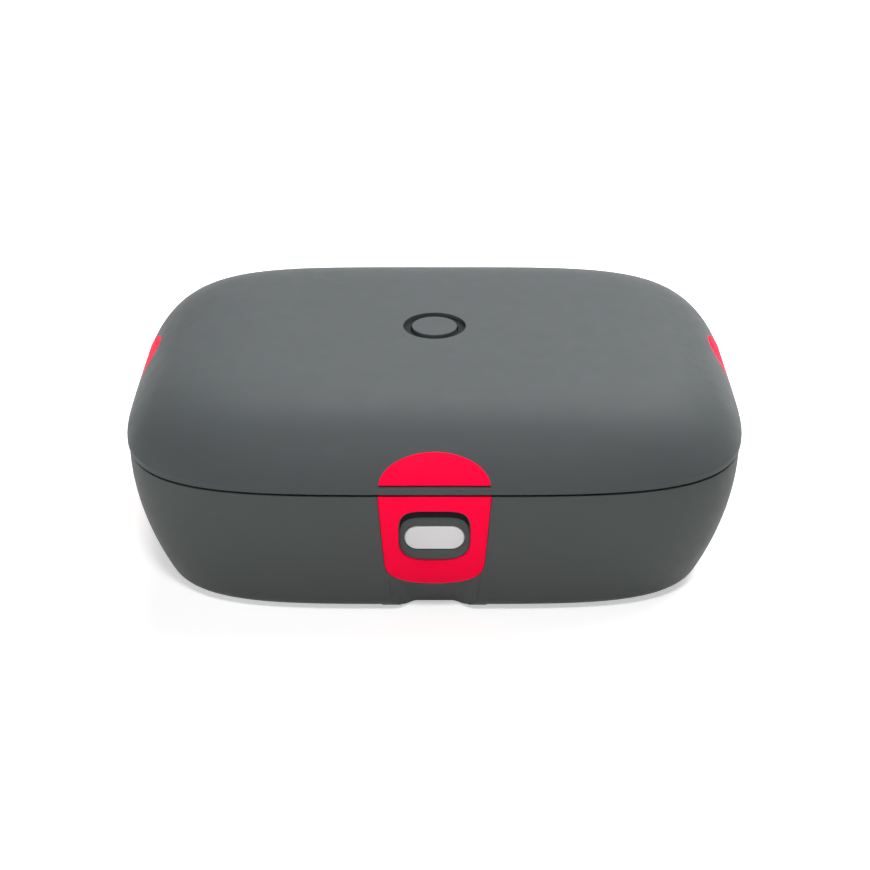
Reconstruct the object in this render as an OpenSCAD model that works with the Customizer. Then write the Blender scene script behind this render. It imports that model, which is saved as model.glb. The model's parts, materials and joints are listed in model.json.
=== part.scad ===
// Heated lunch box: a tapered base with a removable steel tray over a heater, closed by a domed
// lid that is hinged at the rear and held by three push-button latches, with a vent button on top.
// X runs to the right, Y to the rear, Z up. The origin is the middle of the footprint, and the
// feet stand at z = 0.

/* [Body] */
// Width of the box at the seam
body_w = 274; // [256:1:300]
// Depth of the box at the seam, front to rear
body_d = 207.2; // [192:0.4:230]
// Height of the base, from its underside to its rim
base_h = 66; // [64:0.2:76]
// Height of the lid, from its lower edge to its top
lid_h = 30.3; // [27:0.1:36]
// Gap between the rim of the base and the edge of the lid
seam_gap = 1; // [0.8:0.1:1.2]
// Squareness of the outline at the seam, where 2 would be an ellipse
seam_power = 4.26; // [3.9:0.02:5]
// Squareness of the outline at the top of the lid
top_power = 5; // [4:0.1:6]
// Squareness of the outline at the underside
under_power = 4.5; // [4:0.1:5.4]
// How far the base draws in between the seam and the underside
base_taper = 16.6; // [13:0.5:18]
// How late the base draws in, where 1 would be a straight slope
taper_power = 1.85; // [1.6:0.05:2.2]
// Radius of the edge round the underside
under_round = 6; // [4:0.5:8]
// How far the lid's edge overhangs the rim of the base
lid_over = 0.7; // [0.4:0.1:0.8]
// Height of the lid's upright edge above the seam
lid_rim = 3; // [2.6:0.1:4]
// Flatness of the lid's top, from its centre to its shoulder
crown_power = 6.5; // [5:0.1:9]
// Softness of the lid's shoulder, where 2 would be a quarter round
shoulder_power = 1.17; // [1.05:0.01:1.5]

/* [Walls] */
// Wall of the base shell
base_wall = 3; // [2.6:0.1:3.4]
// Thickness of the base shell's floor
floor_t = 3; // [2.6:0.1:4]
// Wall of the lid shell
lid_wall = 2.6; // [2.2:0.1:3]
// Radius that softens the two edges at the seam
edge_round = 0.5; // [0.3:0.1:0.8]
// Thickness of the moulded liners of base and lid
liner_t = 2; // [1.6:0.1:2.4]

/* [Latch plate and recess] */
// Width of a latch plate at the seam
plate_w = 47.7; // [43:0.1:50]
// Width of a latch plate at its foot
plate_foot_w = 41.2; // [38:0.1:44]
// How far a latch plate reaches below the seam
plate_drop = 48.7; // [47:0.1:52]
// Height of the rounded foot of a latch plate
plate_round = 14.8; // [12:0.2:18]
// Thickness of a latch plate
plate_t = 1.6; // [1.2:0.1:1.8]
// Width of the finger recess
recess_w = 30.5; // [29.8:0.1:32]
// Height of the finger recess
recess_h = 26.9; // [26:0.1:29]
// Distance of the recess's centre below the seam
recess_drop = 21.1; // [20.8:0.1:22]
// Depth of the recess at its top
recess_depth = 3.7; // [3.2:0.1:3.8]
// Width of a release button
button_w = 25.4; // [22:0.1:25.4]
// Height of a release button
button_h = 11.6; // [10:0.1:12.4]
// Distance of a release button's centre below the seam
button_drop = 23.2; // [22.4:0.1:23.8]
// How far a release button's face stands above the floor of the recess
button_proud = 0.3; // [0.2:0.1:0.6]
// Travel of a release button
button_travel = 1.5; // [1.2:0.1:1.8]
// Width of the channel that runs down from a latch plate, where it starts
channel_w = 40; // [38:0.5:44]
// Width of that channel at the underside
channel_foot_w = 37; // [34:0.5:40]
// Depth of that channel at the underside
channel_depth = 6.8; // [5:0.1:8]

// How far the side latches and side accents sit behind the middle of the box
side_set_back = 14; // [8:0.5:16]

/* [Latch mechanism] */
// Distance of a hook's pivot below the seam
pivot_drop = 40; // [39:0.1:41]
// Distance of a hook's pivot inside the box's face
pivot_depth = 13; // [12.6:0.1:13.4]
// Radius of a hook's pivot pin
pivot_r = 1.5; // [1.2:0.1:1.7]
// Width of a hook
hook_w = 10; // [8:0.5:12]
// Thickness of a hook's arm
hook_t = 2; // [1.6:0.1:2.4]
// Thickness of the steel of a lid catch
catch_t = 1.6; // [1.2:0.1:1.8]
// Width of a lid catch
catch_w = 16; // [15:0.5:18]
// How far a lid catch hangs below the seam
catch_drop = 11.2; // [10.6:0.1:11.6]
// Mean radius of a hook spring's coils
hook_spring_r = 2.2; // [2:0.1:2.6]

/* [Lid accents and vent] */
// Width of the half-moon accent at the front of the lid
accent_w = 46.6; // [44:0.1:50]
// Width of the accent at each side
side_accent_w = 37.6; // [34:0.1:48]
// Height of a half-moon accent
accent_h = 11.7; // [10:0.1:13]
// Height of an accent's straight edge above the seam
accent_low = 4.9; // [4.2:0.1:5.4]
// Thickness of an accent
accent_t = 1.1; // [0.8:0.1:1.3]
// Radius of the dark ring round the vent button
vent_ring_r = 14.2; // [13.4:0.1:16]
// Radius of the vent button
vent_button_r = 10.35; // [9.5:0.05:10.8]
// How far the dark ring lies below the lid's top
vent_sunk = 1.6; // [1:0.1:1.8]
// Travel of the vent button
vent_travel = 2; // [1.5:0.1:2.5]

/* [Hinge] */
// Distance of each hinge from the middle
hinge_x = 48; // [40:1:56]
// Radius of the hinge knuckles
knuckle_r = 2.9; // [2.6:0.1:3.1]
// Radius of the hinge pins
hinge_pin_r = 1.25; // [1:0.05:1.5]
// Length of the lid's knuckle in each hinge
lid_knuckle = 14; // [10:0.5:18]
// Length of each of the base's knuckles
base_knuckle = 9; // [7:0.5:12]
// How far the hinge axis lies behind the box's rear face
hinge_out = 0.2; // [0.2:0.05:0.5]

/* [Tray and heater] */
// Distance from the outline to the base liner's tub at the rim
tub_inset = 17; // [16.6:0.1:18]
// How much the tub narrows on each side down to its floor
tub_taper = 5.5; // [4:0.5:8]
// Height of the tub's floor above the table
tub_floor = 26.4; // [25.6:0.1:28]
// Thickness of the heat plate above the tub's floor
plate_rise = 2; // [1.5:0.1:3]
// Thickness of the steel tray
tray_t = 0.8; // [0.6:0.1:1.2]
// How far the tray's rim reaches past the tub's edge
tray_lip = 4.5; // [4:0.1:5]
// Width of the silicone lid seal
seal_w = 4; // [3:0.1:4.6]
// Length of the heat plate
heater_l = 190; // [160:1:196]
// Width of the heat plate
heater_w = 120; // [100:1:126]
// Radius of the tubular heating element
element_r = 3.3; // [2.8:0.1:3.4]
// Length of the control board
board_l = 70; // [60:1:80]
// Width of the control board
board_w = 34; // [30:1:36]

/* [Inlet] */
// Width of the power inlet's housing
inlet_w = 29.4; // [27:0.1:34]
// Height of the power inlet's housing
inlet_h = 14.4; // [13.4:0.1:15]
// Height of the inlet's centre above the table
inlet_z = 13.8; // [13.4:0.1:14.4]
// How far the inlet's housing reaches into the box
inlet_reach = 34; // [32:0.5:38]

/* [Underside] */
// Length of the bottom cover
cover_l = 200; // [190:1:206]
// Width of the bottom cover
cover_w = 134; // [126:1:138]
// Thickness of the bottom cover
cover_t = 2; // [1.6:0.1:2.2]
// Radius of a rubber foot
foot_r = 8; // [6:0.5:9]
// How far a foot stands below the underside
foot_out = 1.2; // [1:0.1:2]

/* [Fit] */
// Radial clearance of a pin that turns in its bore
running = 0.05; // [0.03:0.01:0.08]
// Gap between fixed pieces that fit inside each other
fit = 0.15; // [0.1:0.05:0.2]
// Gap between pieces that move past each other
free = 0.3; // [0.25:0.05:0.4]

/* [Hidden] */

$fn = 48;

// Colours
case_grey = [0.32, 0.34, 0.34];
lid_grey = [0.40, 0.42, 0.43];
dark_grey = [0.20, 0.21, 0.21];
accent_red = [0.96, 0.05, 0.22];
button_grey = [0.80, 0.80, 0.80];
liner_grey = [0.72, 0.73, 0.73];
steel = [0.75, 0.76, 0.78];
brass = [0.80, 0.66, 0.36];
silicone = [0.88, 0.88, 0.86];
rubber = [0.10, 0.10, 0.10];
board_green = [0.08, 0.36, 0.20];
felt = [0.86, 0.84, 0.78];

half_w = body_w / 2;
half_d = body_d / 2;
rim_drop = seam_gap / 2;
base_reach = base_h + rim_drop;
lid_reach = lid_h + rim_drop;
seam_z = foot_out + base_reach;
rim_z = seam_z - rim_drop;
lid_z = seam_z + rim_drop;

// Outline: a superellipse whose points bunch at its four corners
outline_sides = 80;
corner_bunch = 0.6;

function mix(a, b, share) = a + (b - a) * share;
function bunched(quarter) = 90 * (quarter + corner_bunch * sin(360 * quarter) / (2 * PI));
function reach_at(turn, power) =
    pow(pow(abs(cos(turn)), power) + pow(abs(sin(turn)), power), -1 / power);
function outline_point(half_x, half_y, power, turn) =
    reach_at(turn, power) * [half_x * cos(turn), half_y * sin(turn)];
function outline(half_x, half_y, power) =
    [for (i = [0:outline_sides - 1])
        outline_point(half_x, half_y, power, bunched(4 * i / outline_sides))];
function ring(half_x, half_y, power, z) =
    [for (p = outline(half_x, half_y, power)) [p[0], p[1], z]];
function seam_outline(inset) = outline(half_w - inset, half_d - inset, seam_power);
function seam_point(inset, turn) =
    outline_point(half_w - inset, half_d - inset, seam_power, turn);
function seam_ring(inset, z) = ring(half_w - inset, half_d - inset, seam_power, z);

// Base surface: how far it has drawn in at a given drop below the seam. The step under the lid's
// overhang fades out downwards.
over_fade = 4;
function base_inset(drop) = let (share = max(drop, 0) / base_reach)
    base_taper * pow(share, taper_power) + lid_over * pow(max(1 - share, 0), over_fade);
function base_ring(drop, extra) =
    ring(half_w - base_inset(drop) - extra, half_d - base_inset(drop) - extra,
        mix(seam_power, under_power, drop / base_reach), seam_z - drop);

// Lid surface: how far it has drawn in, and how high it is, from the rim at 0 to the top at 90
function lid_share(climb) = pow(cos(climb), 2 / crown_power);
function lid_inset(climb) = half_d * (1 - lid_share(climb));
function lid_rise(climb, wall) =
    lid_rim + (lid_reach - wall - lid_rim) * pow(sin(climb), 2 / shoulder_power);
function lid_ring_at(share, rise, wall) =
    ring(half_w - wall - (half_d - wall) * (1 - share), (half_d - wall) * share,
        mix(seam_power, top_power, 1 - share), seam_z + rise);
function lid_ring(climb, wall) = lid_ring_at(lid_share(climb), lid_rise(climb, wall), wall);

// A closed solid through a stack of rings: the first is its lower cap and the last its upper one
module loft(rings) {
    sides = len(rings[0]);
    levels = len(rings);
    walls = [for (k = [0:levels - 2], i = [0:sides - 1])
        let (a = k * sides + i, b = k * sides + (i + 1) % sides)
        each [[a, a + sides, b + sides], [a, b + sides, b]]];
    lower = [for (i = [0:sides - 1]) i];
    upper = [for (i = [sides - 1:-1:0]) (levels - 1) * sides + i];
    polyhedron([for (level = rings) each level], concat([lower], walls, [upper]));
}

// A round tube along a path that never runs along up
module sweep(path, radius, sides, up) {
    last = len(path) - 1;
    loft([for (i = [0:last])
        let (
            ahead = path[min(i + 1, last)] - path[max(i - 1, 0)],
            run = ahead / norm(ahead),
            across = cross(up, run) / norm(cross(up, run)),
            rise = cross(run, across)
        )
        [for (k = [0:sides - 1])
            path[i] + radius * (cos(360 * k / sides) * across + sin(360 * k / sides) * rise)]]);
}

function rounded(w, h, r, steps) =
    [for (corner = [0:3], k = [0:steps])
        let (
            turn = 90 * corner + 90 * k / steps,
            side_x = corner == 0 || corner == 3 ? 1 : -1,
            side_y = corner < 2 ? 1 : -1
        )
        [side_x * (w / 2 - r) + r * cos(turn), side_y * (h / 2 - r) + r * sin(turn)]];

module slab(w, d, r, z_low, z_high) {
    translate([0, 0, z_low]) linear_extrude(z_high - z_low) polygon(rounded(w, d, r, 8));
}

// Latches: each is drawn in its own frame, X along the wall, Y inwards from the box's face and
// Z up from the seam, and then set on the front, left or right side
FRONT = 0;
LEFT = 1;
RIGHT = 2;
latch_turn = [0, -90, 90];
latch_reach = [half_d, half_w, half_w];
latch_along = [0, -side_set_back, side_set_back];

module at_latch(side) {
    rotate(latch_turn[side]) translate([latch_along[side], -latch_reach[side], seam_z]) children();
}

// A side profile given as [depth, height], drawn out along X
module across_x(width) {
    rotate([90, 0, 90]) linear_extrude(width, center = true) children();
}

// A front view given as [x, height], driven through the wall from outside
pierce_out = 4;
seat_gap = 0.05;
module through_y(depth) {
    translate([0, depth, 0]) rotate([90, 0, 0]) linear_extrude(depth + pierce_out) children();
}

profile_steps = 14;
function base_curve(depth, from_drop, to_drop) =
    [for (k = [0:profile_steps]) let (drop = mix(from_drop, to_drop, k / profile_steps))
        [base_inset(drop) + depth, -drop]];
module base_strip(front, back, from_drop, to_drop) {
    polygon(concat(base_curve(front, from_drop, to_drop), base_curve(back, to_drop, from_drop)));
}

foot_steps = 8;
foot_flat = 3.6;
foot_soft = 2.2;
function plate_half(drop) =
    mix(plate_w, plate_foot_w, drop / plate_drop) / 2
    * pow(1 - pow(max(drop - plate_drop + plate_round, 0) / plate_round, foot_flat),
        1 / foot_soft);
plate_drops = concat([rim_drop],
    [for (k = [0:foot_steps]) plate_drop - plate_round * pow(1 - k / foot_steps, 1.6)]);
function plate_outline(grow) = concat(
    [for (drop = plate_drops) [plate_half(drop) + grow, -drop - (drop > rim_drop ? grow : 0)]],
    [for (k = [len(plate_drops) - 1:-1:0]) let (drop = plate_drops[k])
        [-plate_half(drop) - grow, -drop - (drop > rim_drop ? grow : 0)]]);

recess_top_power = 4.4;
recess_foot_power = 3.1;
function recess_outline(grow) =
    [for (turn = [0:9:351])
        let (far = reach_at(turn, turn < 180 ? recess_top_power : recess_foot_power))
        [(recess_w / 2 + grow) * far * cos(turn),
            (recess_h / 2 + grow) * far * sin(turn) - recess_drop]];
recess_top = recess_drop - recess_h / 2;
recess_foot = recess_drop + recess_h / 2;

module latch_plate(side) {
    color(accent_red) at_latch(side) difference() {
        intersection() {
            across_x(plate_w + 2) base_strip(0, plate_t, 0, plate_drop + 1);
            through_y(inner_clear) polygon(plate_outline(0));
        }
        through_y(inner_clear) polygon(recess_outline(0));
    }
}

// Depths of the latch's layers behind the box's face, from outside to inside
cup_sunk = 0.9;
cup_lip = 0.9;
cup_back = 6.4;
cup_top_back = 5;
cup_step_drop = catch_drop + 1.4;
catch_depth = cup_top_back + 0.4;
flange_t = 0.8;
flange_lip = 1.2;
flange_depth = cup_back + 0.1;
pad_depth = flange_depth + flange_t + 0.8;
pad_w = 8;
pad_h = 3;
hook_depth = pad_depth + 0.2;
inner_clear = 12;

// The floor of the recess slopes outwards from its top to its foot
scoop_top = base_inset(recess_top) + recess_depth;
scoop_foot = base_inset(recess_foot) + cup_sunk;
module scoop_side(raised, far) {
    polygon([[scoop_top - raised, -recess_top], [scoop_foot - raised, -recess_foot],
        [far, -recess_foot], [far, -recess_top]]);
}

module latch_cup(side) {
    color(case_grey) at_latch(side) difference() {
        intersection() {
            through_y(inner_clear) polygon(recess_outline(-fit));
            across_x(recess_w) polygon(concat(
                base_curve(cup_sunk, recess_top - 1, recess_foot + 1),
                [[cup_back, -recess_foot - 1], [cup_back, -cup_step_drop],
                    [cup_top_back, -cup_step_drop], [cup_top_back, -recess_top + 1]]));
        }
        intersection() {
            through_y(inner_clear) polygon(recess_outline(-fit - cup_lip));
            across_x(recess_w) scoop_side(0, -pierce_out);
        }
        translate([0, 0, -button_drop]) through_y(inner_clear) button_outline(free - 0.05);
    }
}

button_round = button_h / 2 - 0.1;
module button_outline(grow) {
    polygon(rounded(button_w + 2 * grow, button_h + 2 * grow, button_round + grow, 8));
}

module release_button(side) {
    color(button_grey) at_latch(side) {
        intersection() {
            translate([0, 0, -button_drop]) through_y(flange_depth) button_outline(0);
            across_x(button_w + 2) scoop_side(button_proud, flange_depth);
        }
        translate([0, 0, -button_drop]) {
            translate([0, flange_depth + flange_t, 0]) rotate([90, 0, 0])
                linear_extrude(flange_t) button_outline(flange_lip);
            translate([-pad_w / 2, flange_depth + flange_t, -pad_h / 2])
                cube([pad_w, pad_depth - flange_depth - flange_t, pad_h]);
        }
    }
}

// Hook: an arm on a pin below, whose nose reaches out through the lid catch's window
nose_depth = catch_depth + 0.5;
bar_h = 2.2;
window_foot = catch_drop - bar_h;
nose_foot = window_foot - free;
nose_tip = nose_foot - 1.1;
hook_top = nose_foot - 3.9;
window_top = hook_top + 0.4;
window_w = hook_w + 1;
eye_r = pivot_r + 1.5;
arm_foot = 30;
module latch_hook(side) {
    hook_back = hook_depth + hook_t;
    color(steel) at_latch(side) difference() {
        union() {
            across_x(hook_w) polygon([
                [hook_depth, -arm_foot - 1], [hook_depth, -nose_foot], [nose_depth, -nose_foot],
                [nose_depth, -nose_tip], [hook_depth, -hook_top], [hook_back, -hook_top],
                [hook_back, -arm_foot + 1], [pivot_depth + eye_r - 0.7, -pivot_drop + 2],
                [pivot_depth, -pivot_drop], [pivot_depth - eye_r + 0.1, -pivot_drop + 1]]);
            hook_round(eye_r, hook_w);
        }
        hook_round(pivot_r + running, hook_w + 2);
    }
}

module hook_round(r, w) {
    translate([0, pivot_depth, -pivot_drop]) rotate([0, 90, 0]) cylinder(r = r, h = w, center = true);
}

ear_t = 2.5;
ear_gap = hook_w / 2 + free;
pivot_pin_l = 2 * (ear_gap + ear_t);
module hook_pins() {
    color(steel) for (side = [FRONT, LEFT, RIGHT]) at_latch(side) hook_round(pivot_r, pivot_pin_l);
}

// Ears on the base wall that carry the pivot pin
module latch_ears() {
    for (end = [-1, 1]) translate([end * (ear_gap + ear_t / 2), 0, 0]) {
        across_x(ear_t) polygon([
            [base_inset(pivot_drop - eye_r) + base_wall / 2, -pivot_drop + eye_r],
            [pivot_depth, -pivot_drop + eye_r],
            [pivot_depth, -pivot_drop - eye_r],
            [base_inset(pivot_drop + eye_r) + base_wall / 2, -pivot_drop - eye_r]]);
        hook_round(eye_r, ear_t);
    }
}

// Hook spring, between the arm and its seat on the base liner
hook_wire_r = 0.35;
spring_drop = 14;
spring_turns = 3.5;
spring_solid = 2 * hook_wire_r * (spring_turns + 1) - 0.2;
hook_swing = button_travel * (pivot_drop - spring_drop) / (pivot_drop - button_drop);
spring_seat = hook_depth + hook_t + hook_swing + spring_solid;
function coil(radius, length, turns) =
    [for (k = [0:8 * turns])
        [radius * cos(45 * k), radius * sin(45 * k), length * k / (8 * turns)]];
module hook_spring(side) {
    rest_l = spring_seat - hook_depth - hook_t;
    color(steel) at_latch(side)
        translate([0, hook_depth + hook_t + hook_wire_r + 0.05, -spring_drop]) rotate([-90, 0, 0])
            sweep(coil(hook_spring_r, rest_l - 2 * hook_wire_r - 0.1, spring_turns), hook_wire_r, 5,
                [0, 0, 1]);
}

// Channel below a latch plate: a flat floor between soft sides, deepening towards the foot
channel_start = plate_drop - 4.8;
channel_run = base_reach - channel_start;
channel_out = 12;
channel_flat = 0.4;
channel_steps = 7;
function channel_share(across) = let (up = max(abs(across) - channel_flat, 0) / (1 - channel_flat))
    0.5 + 0.5 * cos(180 * up);
function channel_depth_at(drop) = mix(plate_t, channel_depth, (drop - channel_start) / channel_run);
function channel_edge(drop) =
    mix(base_inset(channel_start), base_inset(base_reach), (drop - channel_start) / channel_run);
function channel_floor(drop) = channel_edge(drop) + channel_depth_at(drop);
function channel_ring(drop) =
    let (half = mix(channel_w, channel_foot_w, (drop - channel_start) / channel_run) / 2)
    concat([[half, channel_edge(drop) - channel_out, -drop]],
        [for (k = [channel_steps:-1:-channel_steps]) let (across = k / channel_steps)
            [half * across, channel_edge(drop) + channel_depth_at(drop) * channel_share(across), -drop]],
        [[-half, channel_edge(drop) - channel_out, -drop]]);
module latch_channel() {
    loft([channel_ring(base_reach + 2), channel_ring(channel_start)]);
}

// Thickening of the wall behind that channel
module latch_saddle() {
    top = channel_start - 3;
    foot = base_reach - floor_t / 2;
    across_x(channel_w + 2 * base_wall) polygon(concat(
        base_curve(base_wall / 2, top, foot),
        [[channel_floor(foot) + base_wall, -foot],
            [channel_floor(channel_start) + base_wall / 2, -top]]));
}

// Hinge
hinge_y = half_d + hinge_out;
hinge_gap = free;
base_knuckle_x = lid_knuckle / 2 + hinge_gap + base_knuckle / 2;
hinge_pin_l = lid_knuckle + 2 * hinge_gap + 2 * base_knuckle;
module hinge_round(x, r, w) {
    translate([x, hinge_y, seam_z]) rotate([0, 90, 0]) cylinder(r = r, h = w, center = true);
}
module for_hinges() {
    for (x = [-hinge_x, hinge_x]) translate([x, 0, 0]) children();
}
module base_knuckles(grow) {
    for_hinges() for (end = [-1, 1])
        hinge_round(end * base_knuckle_x, knuckle_r + grow, base_knuckle + 2 * grow);
}
module lid_knuckles(grow) {
    for_hinges() hinge_round(0, knuckle_r + grow, lid_knuckle + 2 * grow);
}
module hinge_pins() {
    color(steel) for_hinges() hinge_round(0, hinge_pin_r, hinge_pin_l);
}

// Screws that hold the liners: eight round the rim, clear of latches and hinges
screw_turns = [30, 60, 120, 150, 210, 240, 300, 330];
screw_r = 1.4;
screw_head_r = 2.8;
screw_head_t = 1.2;
screw_l = 9;
liner_boss_r = 4;
liner_boss_inset = 7;
liner_boss_l = 16;
module at_screws(inset) {
    for (turn = screw_turns) translate(seam_point(inset, turn)) children();
}

liner_edge = base_wall + lid_over + free;
liner_top = rim_z - 0.2;
liner_under = liner_top - liner_t;
module liner_bosses() {
    at_screws(liner_boss_inset) translate([0, 0, liner_under - liner_boss_l])
        cylinder(r = liner_boss_r, h = liner_boss_l);
}

module liner_screws() {
    color(steel) at_screws(liner_boss_inset) {
        translate([0, 0, liner_top - screw_head_t]) cylinder(r = screw_head_r, h = screw_head_t);
        translate([0, 0, liner_top - screw_l]) cylinder(r = screw_r, h = screw_l - screw_head_t);
    }
}

// Bottom cover, its screws and feet
cover_round = 30;
cover_ledge = 4;
cover_screw_x = cover_l / 2 - 40;
cover_screw_y = cover_w / 2 - 5;
cover_boss_r = 4;
cover_boss_h = 8;
foot_x = cover_l / 2 - 18;
foot_y = cover_w / 2 - 16;
foot_seat = 1;
module at_corners(x, y) {
    for (sx = [-1, 1], sy = [-1, 1]) translate([sx * x, sy * y, 0]) children();
}
module cover_bosses() {
    at_corners(cover_screw_x, cover_screw_y) translate([0, 0, foot_out + cover_t])
        cylinder(r = cover_boss_r, h = cover_boss_h);
}

base_steps = 8;
inner_steps = 3;
inner_round = 4;
base_shell_rings = concat(
    [for (turn = [0:22.5:90])
        base_ring(base_reach - under_round * (1 - cos(turn)), under_round * (1 - sin(turn)))],
    [for (k = [1:base_steps])
        base_ring(mix(base_reach - under_round, rim_drop + edge_round, k / base_steps), 0)],
    [base_ring(rim_drop, edge_round), base_ring(rim_drop, base_wall)],
    [for (k = [1:inner_steps])
        base_ring(mix(rim_drop, base_reach - floor_t - inner_round, k / inner_steps), base_wall)],
    [for (turn = [60:-30:0])
        base_ring(base_reach - floor_t - inner_round * (1 - cos(turn)),
            base_wall + inner_round * (1 - sin(turn)))]);

module base_shell() {
    color(case_grey) difference() {
        union() {
            loft(base_shell_rings);
            for (side = [FRONT, LEFT, RIGHT]) at_latch(side) {
                latch_saddle();
                latch_ears();
            }
            liner_bosses();
            cover_bosses();
            base_knuckles(0);
        }
        for (side = [FRONT, LEFT, RIGHT]) at_latch(side) {
            intersection() {
                across_x(plate_w + 4) base_strip(-pierce_out, plate_t + seat_gap, 0, plate_drop + 1);
                through_y(inner_clear) plate_pocket();
            }
            through_y(inner_clear) polygon(recess_outline(0));
            latch_channel();
            hook_round(eye_r + free, 2 * ear_gap);
            hook_round(pivot_r, pivot_pin_l + 2);
        }
        lid_knuckles(hinge_gap);
        for_hinges() hinge_round(0, hinge_pin_r, hinge_pin_l + 2);
        at_screws(liner_boss_inset) translate([0, 0, liner_top - screw_l])
            cylinder(r = screw_r, h = screw_l);
        slab(cover_l + 2 * fit, cover_w + 2 * fit, cover_round + fit, -1, foot_out + cover_t);
        slab(cover_l - 2 * cover_ledge, cover_w - 2 * cover_ledge, cover_round - cover_ledge, 0,
            foot_out + floor_t + 1);
        at_corners(cover_screw_x, cover_screw_y) cylinder(r = screw_r, h = foot_out + screw_l);
        at_inlet() through_inlet(0);
    }
}

// The pocket for a latch plate is open at the rim
module plate_pocket() {
    polygon(plate_outline(fit));
    translate([-plate_w / 2 - fit, -rim_drop - 1]) square([plate_w + 2 * fit, 3]);
}

rib_w = 3;
mat_t = 3;
plate_foot = tub_floor - liner_t - 2;
element_z = plate_foot - element_r;
mat_top = element_z - element_r - free;
rib_y = 30;
board_t = 1.6;
board_z = foot_out + cover_t + 3.2;
board_clear = 1;
board_x = cover_l / 2 - cover_ledge - board_w / 2 - board_clear;
post_r = 3;
module bottom_cover() {
    color(dark_grey) difference() {
        union() {
            slab(cover_l, cover_w, cover_round, foot_out, foot_out + cover_t);
            for (y = [-rib_y, rib_y]) translate([mat_x - mat_l / 2, y - rib_w / 2, foot_out])
                cube([mat_l, rib_w, mat_top - mat_t - foot_out]);
            translate([board_x, 0, 0]) at_corners(board_w / 2 - post_r, board_l / 2 - post_r)
                translate([0, 0, foot_out]) cylinder(r = post_r, h = board_z - foot_out);
        }
        at_corners(foot_x, foot_y) cylinder(r = foot_r + fit, h = foot_out + foot_seat);
        at_corners(cover_screw_x, cover_screw_y) {
            cylinder(r = screw_r + fit, h = foot_out + cover_t + 1);
            cylinder(r = screw_head_r + fit, h = foot_out + screw_head_t);
        }
    }
}

module feet() {
    color(rubber) at_corners(foot_x, foot_y) cylinder(r = foot_r, h = foot_out + foot_seat);
}

module cover_screws() {
    color(steel) at_corners(cover_screw_x, cover_screw_y) {
        translate([0, 0, foot_out]) cylinder(r = screw_head_r, h = screw_head_t);
        translate([0, 0, foot_out + screw_head_t]) cylinder(r = screw_r, h = screw_l - screw_head_t);
    }
}

// Base liner: the tub that holds the tray, with a flange out to the base's wall
tub_round = 6;
heater_round = 24;
heater_ledge = 5;
function tub_inset_at(z) = tub_inset + tub_taper * (liner_top - z) / (liner_top - tub_floor);
tub_rings = concat(
    [for (turn = [0:30:90]) let (z = tub_floor - liner_t + (tub_round + liner_t) * (1 - cos(turn)))
        seam_ring(tub_inset_at(z) - liner_t + (tub_round + liner_t) * (1 - sin(turn)), z)],
    [seam_ring(tub_inset_at(liner_under) - liner_t, liner_under),
        seam_ring(liner_edge, liner_under), seam_ring(liner_edge, liner_top),
        seam_ring(tub_inset, liner_top)],
    [for (turn = [90:-30:0]) let (z = tub_floor + tub_round * (1 - cos(turn)))
        seam_ring(tub_inset_at(z) + tub_round * (1 - sin(turn)), z)]);
module base_liner() {
    seat_r = hook_spring_r + 1.5;
    color(liner_grey) difference() {
        union() {
            loft(tub_rings);
            for (side = [FRONT, LEFT, RIGHT]) at_latch(side)
                translate([0, spring_seat, -spring_drop]) rotate([-90, 0, 0])
                    cylinder(r = seat_r, h = tub_inset_at(seam_z - spring_drop) - spring_seat);
        }
        slab(heater_l - 2 * heater_ledge, heater_w - 2 * heater_ledge, heater_round - heater_ledge,
            tub_floor - liner_t - 1, tub_floor + 1);
        at_screws(liner_boss_inset) {
            translate([0, 0, liner_under - 1]) cylinder(r = screw_r + fit, h = liner_t + 2);
            translate([0, 0, liner_top - screw_head_t])
                cylinder(r = screw_head_r + fit, h = screw_head_t + 1);
        }
        for (side = [FRONT, LEFT, RIGHT]) at_latch(side)
            translate([-catch_w / 2 - 1.5, catch_depth - 0.8, -rim_drop - liner_t - 2])
                cube([catch_w + 3, catch_t + 1.6, liner_t + 4]);
    }
}

module heat_plate() {
    color(steel) {
        slab(heater_l, heater_w, heater_round, tub_floor, tub_floor + plate_rise);
        slab(heater_l - 2 * heater_ledge - 2 * fit, heater_w - 2 * heater_ledge - 2 * fit,
            heater_round - heater_ledge - fit, plate_foot, tub_floor);
    }
}

// Heating element: a tube bent into a U under the heat plate, with a thin pin at each end
element_bend = 30;
element_x = 46;
cold_pin_r = 1;
cold_pin_l = 8;
module heating_element() {
    color(dark_grey) {
        translate([-element_x, 0, element_z]) rotate(90) rotate_extrude(angle = 180)
            translate([element_bend, 0]) circle(r = element_r);
        for (y = [-element_bend, element_bend]) translate([-element_x, y, element_z])
            rotate([0, 90, 0]) {
                cylinder(r = element_r, h = 2 * element_x);
                cylinder(r = cold_pin_r, h = 2 * element_x + cold_pin_l);
            }
    }
}

mat_l = 144;
mat_w = 96;
mat_x = -20;
module insulation_mat() {
    color(felt) translate([mat_x, 0, 0]) slab(mat_l, mat_w, 10, mat_top - mat_t, mat_top);
}

thermostat_r = 8.5;
thermostat_h = 6;
module thermostat() {
    color(steel) translate([0, 0, plate_foot - thermostat_h]) {
        cylinder(r = thermostat_r, h = thermostat_h);
        for (y = [-1, 1]) translate([0, y * thermostat_r, thermostat_h - 1.5])
            cylinder(r = 4, h = 1.5);
    }
}

fuse_r = 2;
fuse_l = 14;
fuse_x = 30;
module thermal_fuse() {
    color(brass) translate([fuse_x, 0, plate_foot - fuse_r]) rotate([90, 0, 0]) {
        cylinder(r = fuse_r, h = fuse_l, center = true);
        cylinder(r = 0.5, h = fuse_l + 12, center = true);
    }
}

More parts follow.
